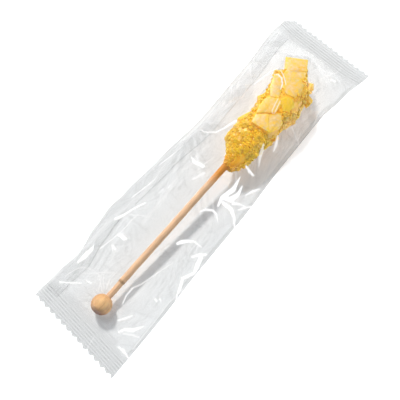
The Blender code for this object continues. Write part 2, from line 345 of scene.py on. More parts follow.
# The wood: a turned ball and the stick glued into it.
def wood_material(name, wood, grain_width, rings, stain):
    """Sanded birch: close pale grain along the piece, a few darker pores, and a soft satin shine.

    The grain's scale comes from its width in metres. rings draws the ball's turned end grain as well, and
    stain adds to the wood's tone by place: syrup on the stick, and on the ball end grain with painted shade.
    """
    material, tree, output = new_material(name)
    place = add_node(tree, "ShaderNodeTexCoord", output="Object")
    stretched = add_node(tree, "ShaderNodeMapping", {"Vector": place, "Scale": (0.06, 1.0, 1.0)})
    grain = add_node(tree, "ShaderNodeTexNoise",
                     {"Vector": stretched, "Scale": 1.0 / grain_width, "Detail": 4.0, "Roughness": 0.6})
    pores = add_node(tree, "ShaderNodeTexNoise",
                     {"Vector": stretched, "Scale": 2.4 / grain_width, "Detail": 2.0})
    darker = with_light(wood, 0.74)
    paler = with_light(wood, 1.10)
    tone = add_node(tree, "ShaderNodeValToRGB",
                    {"Fac": grain, "stops": ((0.30, darker), (0.50, tuple(wood)), (0.72, paler))})
    specks = add_node(tree, "ShaderNodeMapRange", {0: pores, 1: 0.66, 2: 0.74, 3: 0.0, 4: 0.35})
    tone = add_node(tree, "ShaderNodeMix", {"data_type": "RGBA", "Factor": specks, "A": tone, "B": darker})
    if rings:
        wave = add_node(tree, "ShaderNodeTexWave",
                        {"wave_type": "RINGS", "rings_direction": "X", "Vector": place,
                         "Scale": 0.32 / grain_width, "Distortion": 3.0, "Detail": 2.0}, "Fac")
        faint = add_node(tree, "ShaderNodeMath", {"operation": "MULTIPLY", 0: wave, 1: 0.30})
        tone = add_node(tree, "ShaderNodeMix",
                        {"data_type": "RGBA", "Factor": faint, "A": tone, "B": darker})
    # The tone by place: a real syrup stain on the stick, and on the ball end grain with painted shade.
    tone = stain(tree, place, tone)
    shine = add_node(tree, "ShaderNodeMapRange", {0: grain, 3: 0.42, 4: 0.62})
    bump = add_node(tree, "ShaderNodeBump", {"Strength": 0.25, "Distance": 0.00012, "Height": grain})
    surface = add_node(tree, "ShaderNodeBsdfPrincipled",
                       {"Base Color": tone, "Roughness": shine, "Normal": bump, "IOR": 1.50,
                        "Specular IOR Level": 0.3, "Subsurface Weight": 0.08,
                        "Subsurface Radius": (1.0, 0.55, 0.3), "Subsurface Scale": 0.0008})
    tree.links.new(surface, output.inputs["Surface"])
    return material


def syrup_stain(stained, ring):
    """A stain for the stick: a brown ring where the peg ends, and amber syrup drawn up from the candy."""
    soaks = ((CANDY_BASE_X - 0.015, CANDY_BASE_X - 0.006, 0.95, stained),
             (CANDY_BASE_X - 0.006, CANDY_BASE_X + 0.002, 0.90, with_light(stained, 0.80)))
    ring_x = PEG_END_X + 0.0006

    def apply(tree, place, tone):
        along = add_node(tree, "ShaderNodeSeparateXYZ", {"Vector": place}, "X")
        for start, full, amount, shade in soaks:
            soak = add_node(tree, "ShaderNodeMapRange", {0: along, 1: start, 2: full, 3: 0.0, 4: amount})
            tone = add_node(tree, "ShaderNodeMix",
                            {"data_type": "RGBA", "Factor": soak, "A": tone, "B": shade})
        offset = add_node(tree, "ShaderNodeMath", {"operation": "SUBTRACT", 0: along, 1: ring_x})
        distance = add_node(tree, "ShaderNodeMath", {"operation": "ABSOLUTE", 0: offset})
        band = add_node(tree, "ShaderNodeMapRange", {0: distance, 1: 0.0003, 2: 0.0011, 3: 0.6, 4: 0.0})
        return add_node(tree, "ShaderNodeMix", {"data_type": "RGBA", "Factor": band, "A": tone, "B": ring})
    return apply


def end_grain_and_painted_shade(tree, place, tone):
    """Painted light and shade on the ball: it is palest on its upper side and browner away from it. It is
    dark where its end cuts the grain, partly from the end grain and partly painted shade.
    """
    outward = add_node(tree, "ShaderNodeVectorMath",
                       {"operation": "SUBTRACT", 0: place, 1: tuple(BALL_CENTRE)})
    # Painted light on the upper side and painted shade away from it, then the dark end grain with painted
    # shade.
    for direction, start, full, amount, shade in ((BALL_PAINTED_LIT_SIDE, 0.92, 0.15, 0.65, "B4702C"),
                                                  (BALL_DARK_END, 0.52, 0.95, 0.95, "74380E")):
        towards = add_node(tree, "ShaderNodeVectorMath",
                           {"operation": "DOT_PRODUCT", 0: outward, 1: direction})
        share = add_node(tree, "ShaderNodeMapRange",
                         {0: towards, 1: start * BALL_RADIUS, 2: full * BALL_RADIUS, 3: 0.0, 4: amount})
        tone = add_node(tree, "ShaderNodeMix",
                        {"data_type": "RGBA", "Factor": share, "A": tone, "B": colour(shade)})
    return tone


def put_in_order(parts, place):
    """Sort a bmesh's points or faces by where they are, to a tenth of a micron."""
    ordered = sorted(parts, key=lambda part: [round(number / MM, 4) for number in place(part)])
    ranks = {part: rank for rank, part in enumerate(ordered)}
    parts.sort(key=lambda part: ranks[part])


def turn_on_lathe(name, outline, sides):
    """A turned mesh: an outline of (distance, radius) points, spun about X and closed at both ends."""
    lathe = bmesh.new()
    points = [lathe.verts.new((distance, 0.0, radius)) for distance, radius in outline]
    edges = [lathe.edges.new(pair) for pair in zip(points, points[1:])]
    bmesh.ops.spin(lathe, geom=points + edges, cent=(0.0, 0.0, 0.0), axis=(1.0, 0.0, 0.0),
                   angle=math.tau, steps=sides, use_merge=True)
    bmesh.ops.remove_doubles(lathe, verts=lathe.verts, dist=1e-7)
    bmesh.ops.recalc_face_normals(lathe, faces=lathe.faces)
    # Spinning leaves points and faces in an order that changes from run to run.
    put_in_order(lathe.verts, lambda point: point.co)
    put_in_order(lathe.faces, lambda face: face.calc_center_median())
    mesh = bpy.data.meshes.new(name)
    lathe.to_mesh(mesh)
    lathe.free()
    mesh.shade_smooth()
    mesh.set_sharp_from_angle(angle=math.radians(50.0))
    return mesh


class ROCKCANDY_OT_ball(bpy.types.Operator):
    """Turns the wooden ball: a small flat with a dimple at its free end and a fillet at the peg's hole"""
    bl_idname = "rockcandy.ball"
    bl_label = "Turned ball"

    def execute(self, context):
        settings = context.scene.rock_candy_stick
        radius = settings.ball_radius
        flat = 0.24
        dimple = 0.00045
        hole_depth = 0.0008
        steps = 40
        sides = 64
        end = -radius * math.cos(math.asin(flat))
        outline = [(end + dimple, 0.0), (end + 0.00040, 0.45 * flat * radius),
                   (end - 0.00002, 0.75 * flat * radius)]
        start = math.pi - math.asin(flat)
        hole = math.asin(1.15 * settings.stick_radius / radius)
        for step in range(steps + 1):
            angle = start + (hole - start) * step / steps
            outline.append((radius * math.cos(angle), radius * math.sin(angle)))
        rim = outline[-1][0]
        outline += [(rim - hole_depth / 4.0, settings.stick_radius * 0.98),
                    (rim - hole_depth, settings.stick_radius * 0.80), (rim - hole_depth, 0.0)]
        mesh = turn_on_lathe("turned_ball", outline, sides)
        mesh.transform(stick_frame())
        wood = wood_material("Birch, turned and sanded", settings.ball_wood, 0.0011, rings=True,
                             stain=end_grain_and_painted_shade)
        add_piece("turned_ball", mesh, wood)
        return {"FINISHED"}


class ROCKCANDY_OT_stick(bpy.types.Operator):
    """Makes the stick: a peg that fits the ball, and the thicker dowel with its eased end"""
    bl_idname = "rockcandy.stick"
    bl_label = "Birch stick"

    def execute(self, context):
        settings = context.scene.rock_candy_stick
        radius = settings.stick_radius
        peg_radius = 0.90 * radius
        peg_start = 0.70 * settings.ball_radius
        peg_end = PEG_END_X - BALL_CENTRE.x
        end = STICK_END_X - BALL_CENTRE.x
        ease = 0.0003
        sides = 40
        outline = [(peg_start, 0.0), (peg_start, peg_radius)]
        outline += [(at, peg_radius) for at in np.linspace(peg_start + 0.0005, peg_end, 14)]
        outline += [(peg_end + 0.0001, radius - ease), (peg_end + ease, radius)]
        outline += [(at, radius) for at in np.linspace(peg_end + 0.001, end - ease, 150)]
        outline += [(end, radius - ease), (end, 0.0)]
        mesh = turn_on_lathe("birch_stick", outline, sides)
        self.bend(mesh)
        mesh.transform(stick_frame())
        wood = wood_material("Birch dowel, planed", settings.stick_wood, 0.0006, rings=False,
                             stain=syrup_stain(settings.syrup_stain, colour("8A6A45")))
        add_piece("birch_stick", mesh, wood)
        return {"FINISHED"}

    def bend(self, mesh):
        """Sways the stick by hundredths of a millimetre, with waves of random (length, phase, size)."""
        draw = random.Random(3)
        waves = [(draw.uniform(0.010, 0.045), draw.uniform(0.0, math.tau), draw.uniform(0.00002, 0.00006))
                 for _ in range(5)]
        for vertex in mesh.vertices:
            vertex.co.y += sum(size * math.sin(math.tau * vertex.co.x / length + phase)
                               for length, phase, size in waves)


# The sugar: a rounded body around the stick, and the crystals that stand on it.
def sugar_material(name, deep, pale, clearness, flaw_size, glow, heart=None, rims=False):
    """Rock sugar grown from syrup: glassy flat faces over a cloudy, glowing inside, each in its own tone.

    The flaws inside a crystal are drawn at flaw_size metres, its faces have a faint grain, and light spreads
    glow metres inside it. heart is the colour of the syrup it has closed in, if that isn't the deep colour.
    With rims the crystals have it along their edges as well, partly their own deeper tone and partly painted
    shade where crystals meet, and otherwise they are darker near the candy's base. Steep faces and those
    that
    look down have painted shade: they are a little more orange. Light passes through clear crystals into
    their shadow, and the light that any of them throws on other things is toned down.
    """
    material, tree, output = new_material(name)
    syrup = tuple(heart or deep)
    place = add_node(tree, "ShaderNodeTexCoord", output="Object")
    crystal = add_node(tree, "ShaderNodeNewGeometry", output="Random Per Island")
    flaws = add_node(tree, "ShaderNodeTexNoise",
                     {"Vector": place, "Scale": 1.0 / flaw_size, "Detail": 4.0, "Roughness": 0.65})
    drawn_out = add_node(tree, "ShaderNodeMapping",
                         {"Vector": place, "Rotation": (0.0, 0.0, 0.6), "Scale": (1.0, 0.2, 1.0)})
    grain = add_node(tree, "ShaderNodeTexNoise",
                     {"Vector": drawn_out, "Scale": 1.0 / (0.25 * flaw_size), "Detail": 2.0})
    tone = add_node(tree, "ShaderNodeValToRGB", {"Fac": crystal, "stops": ((0.0, deep), (1.0, pale))})
    cloud = add_node(tree, "ShaderNodeMapRange", {0: flaws, 1: 0.50, 2: 0.70, 3: 0.0, 4: 0.6})
    tone = add_node(tree, "ShaderNodeMix", {"data_type": "RGBA", "Factor": cloud, "A": tone,
                                            "B": colour("FCE0AE") if rims else tuple(pale)})
    depth = add_node(tree, "ShaderNodeMapRange", {0: flaws, 1: 0.36, 2: 0.55, 3: 0.85, 4: 0.0})
    tone = add_node(tree, "ShaderNodeMix", {"data_type": "RGBA", "Factor": depth, "A": tone, "B": syrup})
    if rims:
        # The edges take the syrup's deeper tone: partly the sugar's own, partly painted shade where crystals
        # meet.
        clear = add_node(tree, "ShaderNodeAttribute", {"attribute_name": "clear"}, "Fac")
        uneven = add_node(tree, "ShaderNodeMapRange", {0: flaws, 1: 0.3, 2: 0.7, 3: -0.25, 4: 0.35})
        rim = add_node(tree, "ShaderNodeMath", {"operation": "ADD", "use_clamp": True, 0: clear, 1: uneven})
        tone = add_node(tree, "ShaderNodeMix", {"data_type": "RGBA", "Factor": rim, "A": syrup, "B": tone})
    else:
        along = add_node(tree, "ShaderNodeSeparateXYZ", {"Vector": place}, "X")
        base = add_node(tree, "ShaderNodeMapRange",
                        {0: along, 1: CANDY_BASE_X, 2: CANDY_BASE_X + 0.008, 3: 0.7, 4: 0.0})
        tone = add_node(tree, "ShaderNodeMix",
                        {"data_type": "RGBA", "Factor": base, "A": tone, "B": colour("D2860E")})
    # Painted shade: steep faces and those that look down are tinted more orange, as sugar looks in its own
    # shade.
    normal = add_node(tree, "ShaderNodeNewGeometry", output="Normal")
    slope = add_node(tree, "ShaderNodeSeparateXYZ", {"Vector": normal}, "Z")
    under = add_node(tree, "ShaderNodeMapRange", {0: slope, 1: 0.7, 2: -0.3, 3: 0.0, 4: 0.5})
    tone = add_node(tree, "ShaderNodeMix",
                    {"data_type": "RGBA", "Factor": under, "A": tone, "B": colour("FFA51A")})
    frost = add_node(tree, "ShaderNodeMapRange", {0: flaws, 1: 0.3, 2: 0.7, 3: 0.30, 4: 0.52})
    relief = add_node(tree, "ShaderNodeBump",
                      {"Strength": 0.6, "Distance": 0.08 * flaw_size, "Height": grain})
    surface = add_node(tree, "ShaderNodeBsdfPrincipled",
                       {"Base Color": tone, "Roughness": frost, "Normal": relief, "IOR": 1.54,
                        "Subsurface Weight": 0.8, "Subsurface Radius": (1.0, 0.86, 0.45),
                        "Subsurface Scale": glow, "Transmission Weight": clearness})
    if clearness > 0.0:
        shadow = add_node(tree, "ShaderNodeLightPath", output="Is Shadow Ray")
        passed = add_node(tree, "ShaderNodeBsdfTransparent", {"Color": (0.72, 0.72, 0.73, 1.0)})
        surface = add_node(tree, "ShaderNodeMixShader", {0: shadow, 1: surface, 2: passed})
    bounced = add_node(tree, "ShaderNodeLightPath", output="Is Diffuse Ray")
    thrown = add_node(tree, "ShaderNodeBsdfDiffuse", {"Color": (0.97, 0.62, 0.28, 1.0)})
    surface = add_node(tree, "ShaderNodeMixShader", {0: bounced, 1: surface, 2: thrown})
    tree.links.new(surface, output.inputs["Surface"])
    return material


def core_profile(x):
    """The sugar's body at x: half its width, how far it lies beside the stick, and half its height."""
    places, *columns = zip(*CORE_PROFILE)
    return [float(np.interp(x, places, column)) for column in columns]


def core_point(x, angle):
    """A point of the candy's body, and the direction that faces out from it there.

    Its section is round in the lower third and boxy under the large crystals.
    """
    width, offset, lift = core_profile(x)
    power = float(np.interp(x, (0.028, 0.036), (1.0, 0.72)))
    across = math.copysign(abs(math.cos(angle)) ** power, math.cos(angle))
    above = math.copysign(abs(math.sin(angle)) ** power, math.sin(angle))
    point = stick_axis(x) + Vector((0.0, offset + width * across, lift * above))
    steep = 2.0 / power - 1.0
    outward = Vector((0.0, math.copysign(abs(across) ** steep, across) / width,
                      math.copysign(abs(above) ** steep, above) / lift)).normalized()
    slope = (core_profile(x + MM)[0] - core_profile(x - MM)[0]) / (2.0 * MM)
    return point, (outward - Vector((slope, 0.0, 0.0))).normalized()


def cut_block(size, cuts):
    """A closed block with a slice taken off by each plane, given as (direction, share of the way out)."""
    block = bmesh.new()
    bmesh.ops.create_cube(block, size=1.0)
    bmesh.ops.scale(block, vec=size, verts=block.verts)
    for direction, share in cuts:
        normal = Vector(direction).normalized()
        reach = sum(abs(part) * length / 2.0 for part, length in zip(normal, size))
        everything = block.verts[:] + block.edges[:] + block.faces[:]
        bmesh.ops.bisect_plane(block, geom=everything, plane_co=normal * reach * share, plane_no=normal,
                               clear_outer=True)
        bmesh.ops.holes_fill(block, edges=block.edges[:])
    return block


def crystal_cuts(draw, count):
    """Slanting planes that take the corners, edges and ends off a crystal."""
    cuts = []
    for _ in range(count):
        direction = (draw.choice((-1.0, 1.0)) * draw.uniform(0.3, 1.0),
                     draw.choice((-1.0, 1.0)) * draw.uniform(0.0, 1.0),
                     draw.uniform(-0.3, 1.0))
        cuts.append((direction, draw.uniform(0.62, 0.86)))
    return cuts


def small_crystal_shapes(draw, count):
    """Unit crystals to scatter, as pairs of points and faces."""
    shapes = []
    for _ in range(count):
        size = (1.0, draw.uniform(0.62, 0.95), draw.uniform(0.55, 0.95))
        block = cut_block(size, crystal_cuts(draw, draw.randint(3, 5)))
        block.verts.index_update()
        points = np.array([vertex.co for vertex in block.verts])
        faces = [[vertex.index for vertex in face.verts] for face in block.faces]
        block.free()
        shapes.append((points, faces))
    return shapes


def facing(outward, tilt, spin):
    """A turn that points Z outward, leaned over by a tilt and spun about itself."""
    lean = Matrix.Rotation(tilt, 3, "X") @ Matrix.Rotation(spin, 3, "Z")
    return outward.to_track_quat("Z", "Y").to_matrix() @ Matrix.Rotation(spin * 3.0, 3, "Z") @ lean


def grow_crystals(draw, places, shapes, room):
    """Points and faces of crystals at (point, outward, size) places, where room says that they fit."""
    points = []
    faces = []
    start = 0
    for point, outward, size in places:
        corners, sides = draw.choice(shapes)
        turn = np.array(facing(outward, math.radians(draw.gauss(0.0, 28.0)), draw.uniform(0.0, math.tau)))
        placed = corners * size @ turn.T + np.array(point)
        if not room(placed):
            continue
        points.append(placed)
        faces.extend([start + corner for corner in side] for side in sides)
        start += len(placed)
    return np.concatenate(points), faces


def mesh_from(name, points, faces):
    """A mesh of points and the faces between them."""
    mesh = bpy.data.meshes.new(name)
    mesh.from_pydata([tuple(point) for point in points], [], faces)
    mesh.validate()
    mesh.update()
    return mesh


def tube_mesh(name, rings):
    """A closed tube through rings that have the same number of points."""
    index = np.arange(len(rings) * len(rings[0])).reshape(len(rings), -1)
    faces = []
    for near, far in zip(index.tolist(), index[1:].tolist()):
        for corner in range(len(near)):
            following = (corner + 1) % len(near)
            faces.append([near[corner], near[following], far[following], far[corner]])
    faces += [index[0, ::-1].tolist(), index[-1].tolist()]
    return mesh_from(name, [point for ring in rings for point in ring], faces)


def search_tree(*meshes):
    """One search tree of the faces of some meshes."""
    points = []
    faces = []
    for mesh in meshes:
        start = len(points)
        points.extend(vertex.co.copy() for vertex in mesh.vertices)
        faces.extend([start + corner for corner in polygon.vertices] for polygon in mesh.polygons)
    return BVHTree.FromPolygons(points, faces)


def bag_room():
    """A test of whether points lie between the bag's films, with room to spare, and on no large crystal."""
    bag = search_tree(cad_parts["film_bag"].data)
    crystals = search_tree(piece_named("large_crystals").data)
    spare = 0.0003
    lowest = 0.0004
    sunk = 0.00015
    upper_side = 0.012
    down = Vector((0.0, 0.0, -1.0))

    def fits(points):
        if points[:, 2].min() < lowest:
            return False
        for x, y, z in points:
            start = Vector((x, y, ABOVE_ALL))
            film = bag.ray_cast(start, down)[0]
            face = crystals.ray_cast(start, down)[0]
            if film is None or z > film.z - spare:
                return False
            if face is not None and z - sunk > face.z > upper_side:
                return False
        return True
    return fits


class ROCKCANDY_OT_core(bpy.types.Operator):
    """Makes the sugar's rough body around the stick, which shows between the crystals"""
    bl_idname = "rockcandy.core"
    bl_label = "Sugar body"

    def execute(self, context):
        settings = context.scene.rock_candy_sugar
        rows = 90
        sides = 60
        rings = []
        for row in range(rows + 1):
            x = CANDY_BASE_X + (CANDY_TIP_X - CANDY_BASE_X) * row / rows
            rings.append([core_point(x, math.tau * side / sides)[0] for side in range(sides)])
        mesh = tube_mesh("candy_core", rings)
        mesh.shade_smooth()
        sugar = sugar_material("Rock sugar, massed", settings.amber_sugar, settings.golden_sugar,
                               clearness=0.0, flaw_size=0.0012, glow=0.0020)
        add_piece("candy_core", mesh, sugar)
        return {"FINISHED"}


def large_crystal(draw, length, width, depth):
    """One large crystal with its upper face at z = 0: bevelled edges, cut corners and a tapering foot."""
    cuts = []
    for sign in (-1.0, 1.0):
        cuts += [
            ((sign, draw.uniform(-0.35, 0.35), draw.uniform(0.5, 1.5)), draw.uniform(0.82, 0.95)),
            ((draw.uniform(-0.30, 0.30), sign, draw.uniform(0.5, 1.3)), draw.uniform(0.80, 0.94)),
            ((sign, draw.choice((-1.0, 1.0)) * draw.uniform(0.5, 1.1), 0.12), draw.uniform(0.66, 0.86)),
            ((sign, draw.uniform(-0.4, 0.4), -0.5), draw.uniform(0.70, 0.86)),
        ]
    block = cut_block((length, width, depth), cuts)
    bmesh.ops.bevel(block, geom=block.edges[:], offset=EDGE_WEAR, offset_type="OFFSET", segments=1,
                    profile=0.5, affect="EDGES", clamp_overlap=True)
    bmesh.ops.translate(block, verts=block.verts, vec=(0.0, 0.0, -depth / 2.0))
    return block


def crystal_under(height, rise, corners, clearness):
    """A crystal under a slanting face with the given corners, with worn upper edges and a narrower foot."""
    block = bmesh.new()
    clear = block.verts.layers.float.new("clear")
    middle = sum(corners, Vector((0.0, 0.0))) / len(corners)
    rings = []
    for share, drop, clearer in CRYSTAL_RINGS:
        ring = []
        for corner in corners:
            offset = corner - middle
            spot = middle + offset * share
            level = height + rise.dot(offset) * min(share, 1.0) - drop
            vertex = block.verts.new((spot.x, spot.y, level))
            # Lower values give the edges a deeper tone: partly the sugar's own, partly painted shade where
            # crystals meet.
            vertex[clear] = clearer * clearness
            ring.append(vertex)
        rings.append(ring)
    block.faces.new(rings[0][::-1])
    block.faces.new(rings[-1])
    for lower, upper in zip(rings, rings[1:]):
        for index in range(len(corners)):
            following = (index + 1) % len(corners)
            block.faces.new((upper[following], upper[index], lower[index], lower[following]))
    bmesh.ops.recalc_face_normals(block, faces=block.faces)
    return block


def joined_mesh(name, blocks):
    """One flat-shaded mesh of some closed blocks, which are used up."""
    cluster = bmesh.new()
    cluster.verts.layers.float.new("clear")
    scratch = bpy.data.meshes.new("scratch")
    for block in blocks:
        block.to_mesh(scratch)
        block.free()
        cluster.from_mesh(scratch)
    bpy.data.meshes.remove(scratch)
    mesh = bpy.data.meshes.new(name)
    cluster.to_mesh(mesh)
    cluster.free()
    mesh.shade_flat()
    return mesh


class ROCKCANDY_OT_large_crystals(bpy.types.Operator):
    """Sets the large crystals on the candy's upper side and the ones it rests on"""
    bl_idname = "rockcandy.large_crystals"
    bl_label = "Large crystals"

    def execute(self, context):
        settings = context.scene.rock_candy_sugar
        blocks = []
        for table, clearness in ((TOP_CRYSTALS, 1.0), (GOLDEN_CRYSTALS, 0.0)):
            for height, rise_x, rise_y, outline in table:
                middle = sum((Vector(corner) for corner in outline), Vector((0.0, 0.0))) / len(outline)
                corners = [(middle + (Vector(corner) - middle) * CRYSTAL_SPREAD) * MM for corner in outline]
                blocks.append(crystal_under(height * MM, Vector((rise_x, rise_y)), corners, clearness))
        draw = random.Random(21)
        upside_down = Matrix.Rotation(math.pi, 4, "X")
        for x, y, foot, length, width, turn in UNDER_CRYSTALS:
            block = large_crystal(draw, length, width, CRYSTAL_DEPTH)
            spin = Matrix.Rotation(math.radians(turn), 4, "Z")
            block.transform(Matrix.Translation((x, y, foot)) @ spin @ upside_down)
            blocks.append(block)
        sugar = sugar_material("Rock sugar, large clear crystals", settings.honey_sugar,
                               settings.pale_sugar, LARGE_CLEARNESS, flaw_size=0.0021, glow=0.0034,
                               heart=settings.golden_sugar, rims=True)
        add_piece("large_crystals", joined_mesh("large_crystals", blocks), sugar)
        return {"FINISHED"}


def strewn(draw, count, start, end, size_from, proud):
    """Places for crystals on the candy's body between two x, as (point, outward, size).

    size_from draws a size, and proud is the largest share of it by which a crystal's middle stands out.
    """
    places = []
    for _ in range(count):
        x = draw.uniform(start, end)
        point, outward = core_point(x, draw.uniform(0.0, math.tau))
        size = size_from(draw)
        places.append((point + outward * size * draw.uniform(0.0, proud), outward, size))
    return places


def fine_size(draw):
    """A size for a fine crystal."""
    return draw.uniform(0.0010, 0.0023)


def middling_size(draw):
    """A size for a middling crystal, more often small than large."""
    return 0.0010 + 0.0013 * draw.random() ** 2


def flank_places():
    """Places for the blunt crystals of the candy's lower flanks, in between the ones that it rests on."""
    draw = random.Random(3)
    places = []
    for _ in range(150):
        point, outward = core_point(draw.uniform(0.030, 0.072), draw.uniform(0.0, math.tau))
        size = draw.uniform(0.0026, 0.0044)
        if outward.z < FLANK_SLOPE:
            places.append((point + outward * size * 0.25, outward, size))
    return places


class ROCKCANDY_OT_small_crystals(bpy.types.Operator):
    """Grows the fine crystals of the lower third and the middling ones of the sides and underside"""
    bl_idname = "rockcandy.small_crystals"
    bl_label = "Small crystals"

    def execute(self, context):
        settings = context.scene.rock_candy_sugar
        draw = random.Random(8)
        shapes = small_crystal_shapes(draw, 16)
        room = bag_room()
        fine = strewn(draw, settings.fine_crystals, CANDY_BASE_X + 0.0006, FINE_ZONE_END_X + MM,
                      fine_size, proud=0.45)
        self.add_crystals(settings, "fine_crystals", "Rock sugar, fine crystals", 0.0009,
                          grow_crystals(draw, fine, shapes, room))
        middling = strewn(draw, settings.side_crystals, FINE_ZONE_END_X, CANDY_TIP_X,
                          middling_size, proud=0.40)
        outward = Vector(KNOB_DIRECTION).normalized()
        middling += [(Vector(knob[:3]) * MM, outward, knob[3] * MM) for knob in KNOBS]
        middling += flank_places()
        self.add_crystals(settings, "side_crystals", "Rock sugar, middling crystals", 0.0011,
                          grow_crystals(draw, middling, shapes, room))
        return {"FINISHED"}

    def add_crystals(self, settings, name, sugar_name, flaw_size, grown):
        """Makes one piece of crystals that have been grown."""
        sugar = sugar_material(sugar_name, settings.amber_sugar, settings.golden_sugar, SMALL_CLEARNESS,
                               flaw_size, glow=0.0014)
        add_piece(name, mesh_from(name, *grown), sugar)


# The film: a tube of thin clear plastic, pressed flat at both ends. First its rows and columns of points.
CRIMP_ROWS = 36
BODY_ROWS = 360
TOOTH_COLUMNS = 12
COLUMNS = TOOTH_COLUMNS * TEETH
# The ribs that the sealing jaws press into each crimp.
RIBS = 6
RIB_PITCH = 0.00145
FIRST_RIB = 0.0013
RIB_HEIGHT = 0.00007
# The solid's thickness in its crimps. Rays are dropped on it a little further in than the film's points.
SOLID_CRIMP = 0.0008
RAY_INSET = 0.997
# The two films part over this length beyond a crimp, and over this share of the half width beside a fold.
PARTING_LENGTH = 0.004
PARTING_SHARE = 0.05
# How many points away the upper film may slope down from what holds it up.
TENT_STEPS = 300
# Everything that it lies on.
CONTENTS = ("turned_ball", "birch_stick", "candy_core", "large_crystals", "fine_crystals", "side_crystals")
# How far from the bag's middle small creases are strewn, and how broad the painted shine along one is.
CREASED_LENGTH = 0.104
CREASED_WIDTH = 0.029
PAINTED_GLEAM_BREADTH = 0.00045
# The length of the film's faint ripples.
RIPPLE_LENGTH = 0.006
# The share of light that a film with an index of 1.49 reflects straight back from its two faces.
FILM_REFLECTANCE = 0.050
SEAM_REFLECTANCE = 0.012
# The grey that the film's painted shade tends towards.
PAINTED_SHADE_TINT = neutral(0.40)
# How far in from the left fold the back seam's strip begins and ends, and the strip's thickness.
SEAM_NEAR = 0.0008
SEAM_THICKNESS = 0.00012
# How far in from the right fold the pressed line of the side fold runs, and its height.
SIDE_FOLD = 0.0013
SIDE_FOLD_HEIGHT = 0.00015
